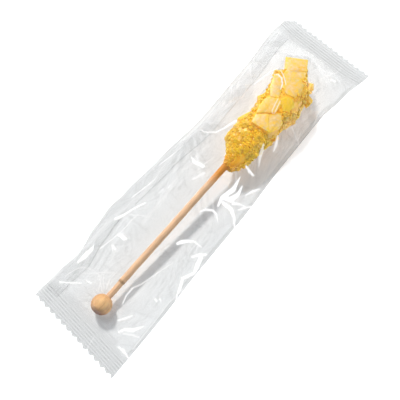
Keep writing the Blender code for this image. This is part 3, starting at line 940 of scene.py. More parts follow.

# Lines drawn on the upper film: strength from 0 to 1, then softness and points as (x, y, half width), in
# millimetres. First painted highlights, where creases shine white, then painted shade, where folds look grey
# and, below the ball, where its shadow is painted.
PAINTED_SHINES = (
    (1.0, 0.3, ((-49.6, 24.2, 0.77), (-46.0, 22.1, 0.77), (-40.9, 20.4, 0.52), (-34.2, 16.9, 0.60))),
    (1.0, 0.3, ((2.0, 15.2, 0.12), (0.0, 11.1, 1.03), (-0.5, 5.0, 1.03))),
    (0.55, 0.5, ((-8.6, 4.7, 0.86), (-3.7, 2.1, 0.95))),
    (1.0, 0.3, ((-12.0, -14.1, 0.52), (-7.4, -13.1, 1.03), (0.1, -14.8, 1.20), (7.3, -13.8, 0.17))),
    (1.0, 0.3, ((-8.9, -15.4, 1.03), (-8.2, -19.8, 1.12), (-10.5, -23.7, 0.77), (-15.2, -27.8, 0.17))),
    (1.0, 0.3, ((-7.6, -13.3, 0.86), (-4.6, -16.9, 1.46), (-0.1, -18.2, 1.03), (4.6, -17.2, 0.34))),
    (0.9, 0.3, ((-5.1, -19.0, 0.86), (-2.1, -24.4, 0.26))),
    (1.0, 0.3, ((-20.7, -9.3, 0.26), (-17.9, -10.8, 0.60), (-15.7, -13.2, 0.60), (-15.7, -16.0, 0.52),
        (-17.9, -18.6, 0.17))),
    (0.9, 0.3, ((2.3, -21.2, 0.26), (6.5, -22.9, 0.60), (10.3, -24.9, 0.26))),
    (0.9, 0.3, ((-6.3, -23.1, 0.26), (-2.8, -24.7, 0.52), (1.2, -27.4, 0.26))),
    (1.0, 0.3, ((-41.1, -10.6, 0.69), (-38.9, -11.7, 1.03), (-36.8, -13.2, 0.77), (-34.1, -16.2, 0.43),
        (-34.4, -20.9, 0.26))),
    (1.0, 0.3, ((-41.2, -20.3, 0.52), (-37.8, -22.4, 0.77), (-35.3, -24.7, 0.52))),
    (1.0, 0.3, ((-38.2, -23.7, 1.03), (-42.6, -24.8, 1.20), (-46.7, -26.0, 0.69), (-50.5, -24.4, 0.77),
        (-53.0, -23.1, 0.69))),
    (1.0, 0.3, ((-52.6, -23.3, 0.69), (-57.1, -25.3, 0.77), (-60.7, -26.3, 0.43), (-65.9, -29.1, 0.17))),
    (0.75, 0.3, ((-73.0, -7.6, 0.34), (-68.3, -9.8, 0.26), (-63.6, -11.0, 0.26), (-56.0, -13.0, 0.17),
        (-49.8, -15.1, 0.17))),
    (0.9, 0.3, ((-81.7, -8.9, 0.26), (-77.4, -7.7, 0.34), (-73.2, -7.8, 0.34))),
    (0.95, 0.3, ((-54.7, 15.1, 0.86), (-55.7, 12.5, 0.77))),
    (0.9, 0.3, ((13.3, -12.8, 0.34), (12.7, -15.6, 0.69), (12.8, -18.6, 0.34))),
    (0.5, 0.5, ((25.0, -14.5, 0.86), (21.3, -15.8, 0.77), (17.7, -18.1, 0.17))),
    (0.95, 0.3, ((17.8, 21.1, 0.26), (18.3, 16.4, 0.34), (19.7, 12.1, 0.43), (23.1, 9.3, 0.52),
        (26.3, 8.0, 0.77), (29.2, 6.6, 0.77))),
    (0.9, 0.3, ((-35.2, 25.2, 0.26), (-27.6, 23.7, 0.34), (-19.4, 22.5, 0.26))),
    (0.75, 0.3, ((-11.2, 26.3, 0.26), (-2.4, 24.5, 0.26), (3.5, 23.4, 0.17))),
    (0.9, 0.3, ((-79.2, 24.1, 0.52), (-74.7, 22.7, 0.60), (-69.6, 22.1, 0.34), (-66.9, 23.9, 0.17))),
    (0.8, 0.3, ((-72.7, 24.6, 0.52), (-71.0, 23.6, 0.52))),
    (1.0, 0.3, ((-55.0, 16.2, 0.43), (-55.4, 13.6, 1.03), (-55.2, 11.5, 0.52))),
    (0.7, 0.3, ((-61.8, 15.9, 0.34), (-64.0, 13.1, 0.34))),
    (0.7, 0.3, ((-66.8, 19.6, 0.34), (-52.5, 16.6, 0.26), (-41.1, 15.5, 0.17))),
    (0.28, 2.0, ((-71.0, 26.2, 1.20), (-53.4, 26.1, 1.55), (-29.8, 21.7, 1.38), (-8.4, 24.1, 1.38),
        (15.4, 25.3, 1.20), (32.0, 23.8, 1.20))),
    (0.22, 2.0, ((-43.2, 10.0, 0.86), (-23.8, 11.0, 1.20), (-11.0, 12.8, 1.03), (11.3, 10.9, 0.86))),
    (0.25, 1.2, ((-70.5, 8.7, 0.52), (-65.6, 11.4, 0.43), (-60.3, 11.9, 0.43))),
    (1.0, 0.3, ((-78.8, 24.4, 0.53), (-74.2, 23.7, 1.17), (-70.0, 23.2, 0.96), (-68.0, 23.2, 0.32))),
    (1.0, 0.3, ((-55.4, 15.9, 1.07), (-55.9, 12.6, 0.85))),
    (0.75, 0.4, ((-61.9, 14.9, 0.64), (-62.8, 12.6, 0.75))),
    (0.35, 0.3, ((-88.8, 23.9, 0.21), (-84.9, 23.5, 0.32), (-80.1, 21.0, 0.43), (-78.1, 17.1, 0.32),
        (-77.7, 13.2, 0.32), (-78.4, 8.8, 0.21))),
    (0.95, 0.3, ((-92.5, 24.5, 0.43), (-90.0, 20.3, 0.43), (-86.4, 14.7, 0.32))),
    (0.9, 0.3, ((-83.9, 13.4, 0.32), (-83.5, 10.6, 0.53))),
    (0.45, 0.3, ((-83.4, 3.0, 0.21), (-79.4, 8.0, 0.21), (-77.5, 11.9, 0.21))),
    (0.4, 0.3, ((-82.2, 2.4, 0.21), (-78.4, 6.5, 0.21), (-75.2, 8.9, 0.21))),
    (0.45, 0.3, ((-81.8, 1.4, 0.21), (-77.1, 3.9, 0.21), (-72.3, 3.9, 0.21))),
    (0.4, 0.3, ((-85.0, 3.9, 0.21), (-83.8, 10.2, 0.21), (-83.9, 14.7, 0.21))),
    (0.95, 0.3, ((-89.2, -12.1, 0.32), (-86.2, -14.0, 0.53), (-82.9, -16.0, 0.32))),
    (1.0, 0.3, ((-93.2, -15.8, 0.43), (-90.4, -17.5, 0.85), (-88.2, -20.8, 0.96), (-83.7, -23.6, 0.32))),
    (0.95, 0.3, ((-98.5, -20.2, 0.32), (-98.4, -23.0, 0.75), (-99.8, -28.1, 0.32))),
    (0.6, 0.3, ((-92.3, -18.1, 0.32), (-90.0, -22.2, 0.43), (-88.8, -25.3, 0.32))),
    (0.9, 0.3, ((-69.7, -19.6, 0.53), (-69.9, -20.8, 0.43))),
    (0.9, 0.3, ((-68.2, -21.3, 0.53), (-68.4, -22.2, 0.43))),
    (0.3, 0.3, ((-102.4, -7.7, 0.21), (-110.5, -9.2, 0.21))),
    (0.55, 0.3, ((-95.0, -26.4, 0.21), (-82.8, -26.3, 0.21), (-66.7, -25.8, 0.21), (-46.7, -27.7, 0.21),
        (-28.4, -27.4, 0.21))),
    (1.0, 0.3, ((54.2, 12.6, 0.30), (60.2, 11.0, 0.53), (65.3, 9.6, 0.41), (67.7, 7.0, 0.24))),
    (0.85, 0.3, ((62.7, 6.0, 0.26), (63.7, 4.1, 0.36), (62.5, 1.1, 0.36), (59.5, -1.5, 0.36),
        (55.6, -2.9, 0.14))),
    (0.75, 0.3, ((66.5, 4.4, 0.20), (64.8, 1.7, 0.24), (62.2, -1.3, 0.24), (60.0, -3.4, 0.14))),
    (0.6, 0.3, ((50.3, -5.2, 0.16), (46.6, -5.9, 0.26), (43.2, -6.7, 0.22), (42.0, -7.6, 0.14),
        (42.6, -8.6, 0.14))),
    (0.6, 0.3, ((50.0, -6.9, 0.16), (46.4, -7.7, 0.22), (43.7, -8.3, 0.20), (42.6, -8.6, 0.14))),
    (0.6, 0.4, ((35.1, -16.9, 0.53), (32.0, -18.4, 0.71), (28.7, -19.3, 0.24))),
    (0.5, 0.4, ((27.0, -13.6, 0.47), (22.5, -15.8, 0.47), (17.7, -17.8, 0.18))),
    (0.5, 0.4, ((45.5, -19.2, 0.24), (44.7, -22.7, 0.24), (44.3, -26.9, 0.18))),
    (0.35, 0.5, ((48.9, -23.3, 0.18), (44.3, -24.8, 0.18))),
    (0.35, 0.4, ((52.9, -20.5, 0.18), (57.9, -21.5, 0.18))),
    (0.3, 0.3, ((79.3, -8.7, 0.32), (88.8, -11.4, 0.32), (96.2, -18.9, 0.21))),
    (0.3, 0.3, ((79.8, -13.8, 0.32), (100.7, -16.0, 0.21))),
    (1.0, 0.3, ((87.0, -17.4, 0.75), (87.9, -19.2, 0.75))),
)
PAINTED_GREYS = (
    (0.45, 1.6, ((-93.8, -3.3, 0.9), (-93.7, -5.8, 1.5), (-92.5, -8.0, 1.6),
        (-90.6, -9.0, 1.3), (-87.9, -8.7, 0.8))),
    (0.35, 0.4, ((-107.7, 21.7, 0.21), (-99.6, 22.4, 0.32), (-86.9, 21.7, 0.32), (-80.8, 21.5, 0.21))),
    (0.22, 0.8, ((26.5, 13.5, 0.26), (16.3, 13.8, 0.34), (2.9, 15.0, 0.43), (-9.8, 13.8, 0.26))),
    (1.0, 0.4, ((-110.1, -5.5, 0.53), (-110.4, -9.0, 0.53))),
    (0.2, 0.6, ((31.2, 18.1, 0.32), (38.8, 12.8, 0.32), (44.9, 8.1, 0.32))),
    (0.3, 0.4, ((-66.8, -29.2, 0.17), (-43.9, -29.1, 0.17), (-18.0, -27.6, 0.17), (-13.4, -27.3, 0.17))),
    (0.3, 0.4, ((-11.8, -27.9, 0.17), (4.3, -27.9, 0.17), (13.5, -27.7, 0.17))),
)


def film_plan():
    """The film's points in plan, as arrays of rows by columns, and how far along and across those lie."""
    low = np.linspace(0.0, CRIMP_LENGTH, CRIMP_ROWS + 1)
    body = np.linspace(CRIMP_LENGTH, BAG_LENGTH - CRIMP_LENGTH, BODY_ROWS + 1)
    distances = np.concatenate((low[:-1], body, BAG_LENGTH - low[::-1][1:]))
    along = distances - BAG_LENGTH / 2.0
    across = np.linspace(-1.0, 1.0, COLUMNS + 1)
    right = np.array([blend_points(RIGHT_FOLD, x) for x in along])
    left = np.array([blend_points(LEFT_FOLD, x) for x in along])
    y = right[:, None] + (left - right)[:, None] * (across[None, :] + 1.0) / 2.0
    skew = np.interp(along, (along[0], along[-1]), (LOW_END_SKEW, HIGH_END_SKEW))
    x = along[:, None] + skew[:, None] * y
    return x, y, distances, across


def cut_teeth(x, distances):
    """Draws the first rows back into the zigzag of the two cut ends."""
    half = TOOTH_COLUMNS / 2.0
    phase = np.arange(COLUMNS + 1) % TOOTH_COLUMNS
    tooth = TOOTH_DEPTH * (1.0 - np.abs(phase - half) / half)
    reach = FIRST_RIB + TOOTH_DEPTH
    low = np.clip(1.0 - distances / reach, 0.0, 1.0)
    high = np.clip(1.0 - (BAG_LENGTH - distances) / reach, 0.0, 1.0)
    return x + low[:, None] * tooth[None, :] - high[:, None] * tooth[None, :]


def drop_rays(tree, x, y, start, direction):
    """Heights at which rays from above or below meet a shape, and nan where they miss it."""
    heights = np.full(x.shape, np.nan)
    for index in np.ndindex(x.shape):
        hit = tree.ray_cast(Vector((x[index], y[index], start)), Vector((0.0, 0.0, direction)))[0]
        if hit is not None:
            heights[index] = hit.z
    return heights


def fill_misses(heights):
    """Fills each missed point in from the ones that were hit on its row, or from the next row in."""
    rows = heights.shape[0]
    order = sorted(range(rows), key=lambda row: abs(row - rows / 2))
    for row in order:
        good = np.flatnonzero(~np.isnan(heights[row]))
        if len(good) == 0:
            inner = row + 1 if row < rows / 2 else row - 1
            heights[row] = heights[inner]
        else:
            heights[row] = np.interp(np.arange(heights.shape[1]), good, heights[row][good])
    return heights


def smooth(heights, times):
    """Averages each inner point with its neighbours."""
    for _ in range(times):
        mean = heights.copy()
        mean[1:-1, 1:-1] = (heights[:-2, 1:-1] + heights[2:, 1:-1]
                            + heights[1:-1, :-2] + heights[1:-1, 2:]) / 4.0
        heights = mean
    return heights


def lift_over(heights, floor, steps):
    """Lifts a film wherever something stands higher, and slopes it away around there like a tent."""
    needed = np.maximum(floor - heights, 0.0)
    lift = needed.copy()
    for _ in range(steps):
        lift = np.maximum(smooth(lift, 1) * 0.998, needed)
    return heights + lift


def turned(x, y, angle):
    """Distances along and across a direction in the plan."""
    return x * math.cos(angle) + y * math.sin(angle), y * math.cos(angle) - x * math.sin(angle)


def crinkles(x, y, draw, count, breadths, lengths):
    """Many short sharp creases, each a low ridge with straight sides and fading ends, and their painted
    shine.

    Near the bag's ends most of them run across it, and elsewhere along it.
    """
    heights = np.zeros(x.shape)
    shine = np.zeros(x.shape)
    for _ in range(count):
        centre_x = draw.uniform(-CREASED_LENGTH, CREASED_LENGTH)
        centre_y = draw.uniform(-CREASED_WIDTH, CREASED_WIDTH)
        usual = 90.0 if abs(centre_x) > 0.085 else 12.0
        angle = math.radians(draw.gauss(usual, 38.0))
        length = draw.uniform(*lengths)
        breadth = draw.uniform(*breadths)
        slope = draw.uniform(0.02, 0.13) * draw.choice((-1.0, 1.0))
        along, across = turned(x - centre_x, y - centre_y, angle)
        across = across - draw.gauss(0.0, 6.0) * along ** 2
        fade = np.clip(1.0 - (2.0 * along / length) ** 2, 0.0, 1.0)
        side = draw.uniform(0.5, 1.8)
        tent = np.maximum(1.0 - np.where(across > 0.0, across, -across * side) / breadth, 0.0)
        heights += slope * breadth * fade * tent
        painted_gleam = draw.uniform(-1.0, 0.55)
        shine = np.maximum(shine, painted_gleam * fade * np.maximum(1.0 - np.abs(across) / PAINTED_GLEAM_BREADTH, 0.0))
    return heights, shine


def drawn_lines(x, y, table):
    """How strongly each point of a film is covered by the drawn lines of a table, from 0 to 1."""
    x = x / MM
    y = y / MM
    ink = np.zeros(x.shape)
    for strength, softness, points in table:
        for (x1, y1, w1), (x2, y2, w2) in zip(points, points[1:]):
            run = (x2 - x1) ** 2 + (y2 - y1) ** 2
            along = np.clip(((x - x1) * (x2 - x1) + (y - y1) * (y2 - y1)) / run, 0.0, 1.0)
            away = np.hypot(x - x1 - along * (x2 - x1), y - y1 - along * (y2 - y1))
            cover = np.clip((w1 + (w2 - w1) * along - away) / softness + 0.5, 0.0, 1.0)
            ink = np.maximum(ink, strength * cover)
    return ink


def facets(x, y, draw, count):
    """Broad shallow folds: each bends the film along a straight line and fades away around its middle."""
    heights = np.zeros(x.shape)
    for _ in range(count):
        angle = draw.uniform(0.0, math.pi)
        reach = draw.uniform(0.010, 0.024)
        slope = draw.uniform(0.02, 0.075) * draw.choice((-1.0, 1.0))
        along, across = turned(x - draw.uniform(-0.1, 0.1), y - draw.uniform(-0.028, 0.028), angle)
        near = np.clip(1.0 - (along ** 2 + across ** 2) / reach ** 2, 0.0, 1.0)
        heights += slope * np.abs(across) * near ** 2
    return heights


def ball_creases(x, y, draw):
    """Folds that run out like rays from where the film is drawn over the ball."""
    heights = np.zeros(x.shape)
    rays = 15
    for ray in range(rays):
        angle = math.tau * (ray + draw.uniform(-0.3, 0.3)) / rays
        along, across = turned(x - BALL_CENTRE.x, y - BALL_CENTRE.y, angle)
        length = draw.uniform(0.010, 0.019)
        fade = np.clip((along - 0.004) / 0.003, 0.0, 1.0) * np.clip(1.0 - along / length, 0.0, 1.0)
        ridge = np.maximum(1.0 - np.abs(across) / 0.0009, 0.0)
        heights += draw.uniform(0.00006, 0.00018) * fade * ridge
    return heights


def creased(heights):
    """How sharply a film bends at each point, from 0 to 1, with bends across the bag counting for more."""
    middle = heights[1:-1, 1:-1]
    bend = np.zeros(heights.shape)
    bend[1:-1, 1:-1] = (np.abs(heights[:-2, 1:-1] + heights[2:, 1:-1] - 2.0 * middle)
                        + 1.6 * np.abs(heights[1:-1, :-2] + heights[1:-1, 2:] - 2.0 * middle))
    return np.clip((bend - 0.00002) / 0.00010, 0.0, 1.0)


def film_material(name, tint, reflectance=FILM_REFLECTANCE):
    """Stretched polypropylene film: clear and glossy, with painted grey shade along its creases and painted
    white highlights on some, which the camera alone sees.

    Each drawn surface stands for both faces of a film with an index of 1.49, so it reflects twice what one
    face does. The share grows towards grazing angles in the same way from either side.
    """
    material, tree, output = new_material(name)
    place = add_node(tree, "ShaderNodeTexCoord", output="Object")
    seen = add_node(tree, "ShaderNodeLightPath", output="Is Camera Ray")
    ripples = add_node(tree, "ShaderNodeTexNoise",
                       {"Vector": place, "Scale": 1.0 / RIPPLE_LENGTH, "Detail": 3.0, "Roughness": 0.55})
    bump = add_node(tree, "ShaderNodeBump", {"Strength": 0.5, "Distance": 0.00012, "Height": ripples})
    # Painted shade for camera rays only: lamp light passes through with the plain tint.
    crease = add_node(tree, "ShaderNodeAttribute", {"attribute_name": "crease"}, "Fac")
    grey = add_node(tree, "ShaderNodeMath", {"operation": "MULTIPLY", 0: crease, 1: seen})
    tone = add_node(tree, "ShaderNodeMix",
                    {"data_type": "RGBA", "Factor": grey, "A": tuple(tint), "B": PAINTED_SHADE_TINT})
    clear = add_node(tree, "ShaderNodeBsdfTransparent", {"Color": tone})
    gloss = add_node(tree, "ShaderNodeBsdfGlossy", {"Roughness": 0.05, "Color": WHITE, "Normal": bump})
    edge_on = add_node(tree, "ShaderNodeLayerWeight", {"Blend": 0.5, "Normal": bump}, "Facing")
    grazing = add_node(tree, "ShaderNodeMath", {"operation": "POWER", 0: edge_on, 1: 5.0})
    reflected = add_node(tree, "ShaderNodeMapRange", {0: grazing, 3: reflectance, 4: 0.5})
    film = add_node(tree, "ShaderNodeMixShader", {0: reflected, 1: clear, 2: gloss})
    # Painted highlight: a white glow from no lamp where the shine attribute is set, seen by the camera only.
    shine = add_node(tree, "ShaderNodeAttribute", {"attribute_name": "shine"}, "Fac")
    share = add_node(tree, "ShaderNodeMath", {"operation": "MULTIPLY", 0: shine, 1: seen})
    white = add_node(tree, "ShaderNodeEmission", {"Color": WHITE, "Strength": 1.1})
    surface = add_node(tree, "ShaderNodeMixShader", {0: share, 1: film, 2: white})
    tree.links.new(surface, output.inputs["Surface"])
    return material


def spread(heights, reach):
    """The highest value within reach points of each point."""
    for _ in range(reach):
        wider = heights.copy()
        wider[1:] = np.maximum(wider[1:], heights[:-1])
        wider[:-1] = np.maximum(wider[:-1], heights[1:])
        wider[:, 1:] = np.maximum(wider[:, 1:], heights[:, :-1])
        wider[:, :-1] = np.maximum(wider[:, :-1], heights[:, 1:])
        heights = wider
    return heights


def hung_films(x, y, loose, gap):
    """Heights of the lower and upper film before they are creased.

    They follow the solid where they are loose. Where they are pressed together, in the crimps and folds,
    they lie in the middle of the solid's thickness, with their drawn thickness as the gap.
    """
    solid = search_tree(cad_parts["film_bag"].data)
    inner_x = x * RAY_INSET
    inner_y = y * RAY_INSET
    top = smooth(fill_misses(drop_rays(solid, inner_x, inner_y, ABOVE_ALL, -1.0)), 4)
    bottom = smooth(fill_misses(drop_rays(solid, inner_x, inner_y, -ABOVE_ALL, 1.0)), 4)
    middle = bottom + SOLID_CRIMP / 2.0
    low = loose * bottom + (1.0 - loose) * (middle - gap / 2.0)
    high = loose * (top - SOLID_CRIMP / 2.0) + (1.0 - loose) * (middle + gap / 2.0)
    return low, high


class ROCKCANDY_OT_film(bpy.types.Operator):
    """Hangs the clear film over the candy, the stick and the ball, and creases it"""
    bl_idname = "rockcandy.film"
    bl_label = "Clear film"

    def execute(self, context):
        settings = context.scene.rock_candy_bag
        x, y, distances, across = film_plan()
        from_end = np.minimum(distances, BAG_LENGTH - distances)
        parted = np.clip((from_end - CRIMP_LENGTH) / PARTING_LENGTH, 0.0, 1.0)[:, None]
        in_crimp = 1.0 - parted
        loose = parted * np.clip((1.0 - np.abs(across)) / PARTING_SHARE, 0.0, 1.0)[None, :]
        low, high = hung_films(x, y, loose, settings.film_gap)

        draw = random.Random(5)
        low_folds, low_painted_shine = crinkles(x, y, draw, settings.crinkles,
                                        breadths=(0.0006, 0.0024), lengths=(0.005, 0.026))
        low = low + np.abs(low_folds) * loose
        high_folds, shine = crinkles(x, y, draw, settings.crinkles,
                                     breadths=(0.0006, 0.0022), lengths=(0.005, 0.028))
        broad = facets(x, y, draw, settings.facets)
        high = high + (high_folds + broad + ball_creases(x, y, draw)) * loose
        low = low + seam_lift(x, y) * loose

        contents = search_tree(*(piece_named(name).data for name in CONTENTS))
        held = drop_rays(contents, x, y, ABOVE_ALL, -1.0)
        floor = np.where(np.isnan(held), low, np.maximum(held, low)) + settings.clearance
        high = lift_over(high, spread(floor, 1), TENT_STEPS)
        width = (y[:, -1] - y[:, 0])[:, None]
        from_right = (across + 1.0)[None, :] * 0.5 * width
        from_left = (1.0 - across)[None, :] * 0.5 * width
        edges = np.maximum(1.0 - np.minimum(from_right, from_left) / 0.0006, 0.0) * parted
        pressed = np.maximum(1.0 - np.abs(from_right - SIDE_FOLD) / 0.0005, 0.0) * parted
        high = high + SIDE_FOLD_HEIGHT * pressed

        wave = np.clip((from_end - FIRST_RIB) / RIB_PITCH, 0.0, RIBS)[:, None]
        ribs = RIB_HEIGHT * (0.5 - 0.5 * np.cos(math.tau * wave))
        low = low + ribs
        high = high + ribs

        # Painted shade on each film, from 0 to 1: grey along sharp creases, beside the folds, along the
        # pressed side fold and in the crimps, with the lower film greyer all over as painted shadow of the
        # films on the floor seen through it, and shaded by the slope of the upper film's folds. The crimps'
        # ribs have painted shade on one flank and a painted highlight on the other, unevenly.
        flank = np.sin(math.tau * wave)
        uneven_rib_light = 0.6 + 0.4 * np.sin(x / 0.0017 + y / 0.0043) * np.sin(y / 0.0011)
        grey = in_crimp * (0.10 + 0.16 * uneven_rib_light * np.maximum(flank, 0.0))
        top_grey = 0.20 * creased(high) * parted + 0.06 * pressed + 0.25 * edges + grey
        top_grey = np.maximum(top_grey, 0.7 * drawn_lines(x, y, PAINTED_GREYS))
        lean = np.clip(np.gradient(high_folds + broad, axis=1) / 0.0007, -1.0, 1.0) * parted
        low_grey = 0.51 + 0.10 * creased(low) * parted + 0.7 * smooth(lean, 3) + grey
        # Painted highlights: the small creases' painted shine, only faint over the candy, the stick and the
        # ball, and the drawn lines.
        bare = np.where(spread(np.where(np.isnan(held), 0.0, 1.0), 4) > 0.0, 0.1, 1.0)
        shine = np.maximum(shine * bare * parted, drawn_lines(x, y, PAINTED_SHINES))
        shine = np.maximum(shine, 0.22 * in_crimp * uneven_rib_light * np.maximum(-flank, 0.0))

        x = cut_teeth(x, distances)
        shift = (x.min() + x.max()) / 2.0
        mesh = film_mesh(x - shift, y, low, high)
        store(mesh, "crease", np.concatenate((top_grey.ravel(), low_grey[::2, ::2].ravel())))
        store(mesh, "shine", np.concatenate((shine.ravel(), 0.6 * low_painted_shine[::2, ::2].ravel())))
        film_look = film_material("Polypropylene film, stretched and clear", settings.haze)
        film = add_piece("film_tube", mesh, film_look)
        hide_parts("film_bag")
        seam = seam_mesh()
        seam.transform(Matrix.Translation((-shift, 0.0, 0.0)))
        seam_look = film_material("Polypropylene film, sealed seam", WHITE, SEAM_REFLECTANCE)
        add_piece("back_seam", seam, seam_look)
        return {"FINISHED"}


def seam_edges(x):
    """How far left the back seam's strip begins and ends in the plan."""
    fold = blend_points(LEFT_FOLD, x)
    return fold - SEAM_NEAR - bpy.context.scene.rock_candy_bag.seam_width, fold - SEAM_NEAR


def seam_lift(x, y):
    """How far the lower film stands over the back seam's strip."""
    places = np.linspace(-0.11, 0.11, 200)
    edges = np.array([seam_edges(place) for place in places])
    inner = np.interp(x, places, edges[:, 0])
    outer = np.interp(x, places, edges[:, 1])
    ramp = 0.0006
    rise = np.clip((y - inner + ramp) / ramp, 0.0, 1.0)
    fall = np.clip((outer + ramp - y) / ramp, 0.0, 1.0)
    return 1.6 * SEAM_THICKNESS * rise * fall


def seam_mesh():
    """The back seam: a flat strip under the bag, knurled across by the sealing wheels."""
    places = np.linspace(CRIMP_LENGTH - BAG_LENGTH / 2.0, BAG_LENGTH / 2.0 - CRIMP_LENGTH, 601)
    bottom = 0.00002
    edge = 0.0005
    knurl = 0.00001
    rings = []
    for row, x in enumerate(places):
        inner, outer = seam_edges(x)
        top = bottom + SEAM_THICKNESS - knurl * (row % 3)
        outline = ((inner, bottom), (outer, bottom), (outer, top), (outer - edge, top), (inner + edge, top),
                   (inner, top))
        rings.append([(x, y, z) for y, z in outline])
    mesh = tube_mesh("back_seam", rings)
    # Painted shade: the strip is greyer along its two upper edges.
    store(mesh, "crease", np.tile((0.0, 0.0, 0.15, 0.0, 0.0, 0.4), len(rings)))
    return mesh


def store(mesh, name, values):
    """Keeps one number for each point of a mesh, for its material to read."""
    attribute = mesh.attributes.new(name, "FLOAT", "POINT")
    attribute.data.foreach_set("value", np.clip(values, 0.0, 1.0).astype(np.float32))


def film_mesh(x, y, low, high):
    """One closed surface from the heights of the two films, joined along the folds and the cut ends.

    The lower film is drawn from every second point.
    """
    rows, columns = x.shape
    count = rows * columns
    upper = np.stack((x, y, high), axis=-1).reshape(-1, 3)
    lower = np.stack((x, y, low), axis=-1)[::2, ::2].reshape(-1, 3)
    upper_index = np.arange(count).reshape(rows, columns)
    lower_index = count + np.arange(len(lower)).reshape(rows // 2 + 1, columns // 2 + 1)
    faces = grid_faces(upper_index) + [face[::-1] for face in grid_faces(lower_index)]
    upper_rim = grid_rim(upper_index)
    lower_rim = grid_rim(lower_index)
    size = len(lower_rim)
    for step in range(size):
        above = [upper_rim[(2 * step + part) % (2 * size)] for part in (2, 1, 0)]
        faces.append([lower_rim[step], lower_rim[(step + 1) % size], *above])
    mesh = bpy.data.meshes.new("film_tube")
    mesh.from_pydata(np.concatenate((upper, lower)).tolist(), [], faces)
    mesh.validate()
    mesh.update()
    mesh.shade_smooth()
    return mesh


def grid_faces(index):
    """The four-cornered faces of a grid of points."""
    corners = (index[:-1, :-1], index[1:, :-1], index[1:, 1:], index[:-1, 1:])
    return np.stack(corners, axis=-1).reshape(-1, 4).tolist()


def grid_rim(index):
    """The points around a grid's edge, in order."""
    return np.concatenate((index[0, :], index[1:, -1], index[-1, -2::-1], index[-2:0:-1, 0])).tolist()


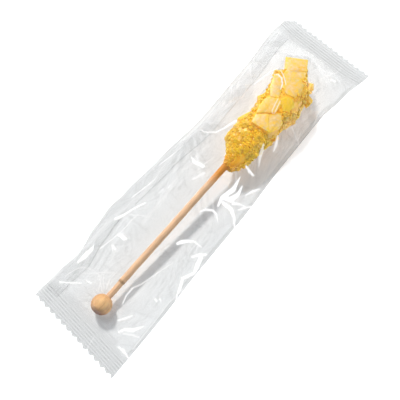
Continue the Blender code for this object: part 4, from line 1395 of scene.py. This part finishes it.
class ROCKCANDY_OT_stage(bpy.types.Operator):
    """Sets the pale floor, the soft light and the camera at the photograph's viewing angle"""
    bl_idname = "rockcandy.stage"
    bl_label = "Studio"

    def execute(self, context):
        settings = context.scene.rock_candy_studio
        scene = context.scene
        self.add_floor(settings.floor_glow)
        scene.world = self.soft_dome(settings.dome_strength)
        key = self.add_soft_box("Key soft box", heading=(0.463, 0.879), elevation=48.5, distance=2.2,
                                size=0.25, power=settings.key_strength, tint=(1.0, 0.97, 0.93))
        fill = self.add_soft_box("Fill panel", heading=(0.40, -0.92), elevation=38.0, distance=2.4,
                                 size=1.5, power=settings.fill_strength, tint=(0.93, 0.97, 1.0))
        self.keep_off(key, "Lit by the walls alone", ("film_tube", "back_seam"))
        self.keep_off(fill, "Out of the fill panel's light",
                      ("film_tube", "back_seam", "birch_stick", "turned_ball"))
        self.add_camera(scene, settings)
        scene.view_settings.view_transform = "Standard"
        scene.view_settings.look = "None"
        return {"FINISHED"}

    def add_floor(self, glow):
        """A matt white board under the bag, partly burnt out."""
        bpy.ops.mesh.primitive_plane_add(size=6.0, location=(0.0, 0.0, -0.0001))
        floor = bpy.context.object
        floor.name = "studio_floor"
        material, tree, output = new_material("Matt white board")
        surface = add_node(tree, "ShaderNodeBsdfPrincipled",
                           {"Base Color": colour("F8FBFD"), "Roughness": 0.9, "Specular IOR Level": 0.0,
                            "Emission Color": WHITE, "Emission Strength": glow})
        tree.links.new(surface, output.inputs["Surface"])
        floor.data.materials.append(material)

    def soft_dome(self, strength):
        """White walls under a ceiling of pale panels and dark gaps, which film and crystals can mirror."""
        world = bpy.data.worlds.new("White walls, panelled ceiling")
        world.use_nodes = True
        tree = world.node_tree
        place = add_node(tree, "ShaderNodeTexCoord", output="Generated")
        height = add_node(tree, "ShaderNodeSeparateXYZ", {"Vector": place}, "Z")
        walls = add_node(tree, "ShaderNodeValToRGB",
                         {"Fac": height, "stops": ((0.0, neutral(0.80)), (0.45, neutral(0.60)),
                                                   (0.75, neutral(0.30)), (1.0, neutral(0.28)))})
        panels = add_node(tree, "ShaderNodeTexNoise", {"Vector": place, "Scale": 5.0, "Detail": 1.0})
        ceiling = add_node(tree, "ShaderNodeValToRGB",
                           {"Fac": panels, "stops": ((0.42, neutral(0.22)), (0.58, neutral(0.52)))})
        overhead = add_node(tree, "ShaderNodeMapRange", {0: height, 1: 0.45, 2: 0.75, 3: 0.0, 4: 1.0})
        shade = add_node(tree, "ShaderNodeMix",
                         {"data_type": "RGBA", "Factor": overhead, "A": walls, "B": ceiling})
        cool = add_node(tree, "ShaderNodeVectorMath",
                        {"operation": "MULTIPLY", 0: shade, 1: (0.92, 0.96, 1.0)})
        background = tree.nodes["Background"]
        background.inputs["Strength"].default_value = strength
        tree.links.new(cool, background.inputs["Color"])
        return world

    def add_soft_box(self, name, heading, elevation, distance, size, power, tint):
        """A square soft box that faces the middle of the bag, with its heading given in the plan."""
        heading = Vector(heading).normalized()
        rise = math.radians(elevation)
        direction = Vector((heading.x * math.cos(rise), heading.y * math.cos(rise), math.sin(rise)))
        light = bpy.data.lights.new(name, "AREA")
        light.shape = "SQUARE"
        light.size = size
        light.energy = power
        light.color = tint
        lamp = bpy.data.objects.new(name, light)
        lamp.location = direction * distance
        lamp.rotation_euler = direction.to_track_quat("Z", "Y").to_euler()
        bpy.context.scene.collection.objects.link(lamp)
        return lamp

    def keep_off(self, lamp, name, pieces):
        """Leaves some pieces out of a lamp's light."""
        left_out = bpy.data.collections.new(name)
        for piece in pieces:
            left_out.objects.link(piece_named(piece))
        lamp.light_linking.receiver_collection = left_out
        for member in left_out.collection_objects:
            member.light_linking.link_state = "EXCLUDE"

    def add_camera(self, scene, settings):
        """The camera looks down steeply, with the bag running from lower left to upper right."""
        target = Vector((-0.0123, -0.0029, 0.0))
        turn = math.radians(-51.5)
        rise = math.radians(68.0)
        back = Vector((math.sin(turn) * math.cos(rise), -math.cos(turn) * math.cos(rise), math.sin(rise)))
        right = Vector((math.cos(turn), math.sin(turn), 0.0))
        up = back.cross(right)
        lens = bpy.data.cameras.new("Camera")
        lens.lens = settings.camera_lens
        lens.sensor_width = 36.0
        lens.clip_start = 0.01
        camera = bpy.data.objects.new("Camera", lens)
        camera.matrix_world = (Matrix.Translation(target + back * settings.camera_distance)
                               @ Matrix((right, up, back)).transposed().to_4x4())
        scene.collection.objects.link(camera)
        scene.camera = camera


STEPS = ("ball", "stick", "core", "large_crystals", "small_crystals", "film", "stage")


class ROCKCANDY_PT_panel(bpy.types.Panel):
    """Lists the steps in the order in which they are made"""
    bl_idname = "ROCKCANDY_PT_panel"
    bl_label = "Rock Candy"
    bl_space_type = "VIEW_3D"
    bl_region_type = "UI"
    bl_category = "Rock Candy"

    def draw(self, context):
        for step in STEPS:
            self.layout.operator(f"rockcandy.{step}")
        for group in (context.scene.rock_candy_bag, context.scene.rock_candy_stick,
                      context.scene.rock_candy_sugar, context.scene.rock_candy_studio):
            box = self.layout.box()
            for name in group.bl_rna.properties.keys():
                if name not in {"rna_type", "name"}:
                    box.prop(group, name)


CLASSES = (
    RockCandyBag, RockCandyStick, RockCandySugar, RockCandyStudio,
    ROCKCANDY_OT_ball, ROCKCANDY_OT_stick, ROCKCANDY_OT_core, ROCKCANDY_OT_large_crystals,
    ROCKCANDY_OT_small_crystals, ROCKCANDY_OT_film, ROCKCANDY_OT_stage, ROCKCANDY_PT_panel,
)


def register():
    for item in CLASSES:
        bpy.utils.register_class(item)
    bpy.types.Scene.rock_candy_bag = bpy.props.PointerProperty(type=RockCandyBag)
    bpy.types.Scene.rock_candy_stick = bpy.props.PointerProperty(type=RockCandyStick)
    bpy.types.Scene.rock_candy_sugar = bpy.props.PointerProperty(type=RockCandySugar)
    bpy.types.Scene.rock_candy_studio = bpy.props.PointerProperty(type=RockCandyStudio)


def unregister():
    for name in ("rock_candy_bag", "rock_candy_stick", "rock_candy_sugar", "rock_candy_studio"):
        delattr(bpy.types.Scene, name)
    for item in reversed(CLASSES):
        bpy.utils.unregister_class(item)


def main():
    register()
    for step in STEPS:
        getattr(bpy.ops.rockcandy, step)()


if __name__ == "__main__":
    main()
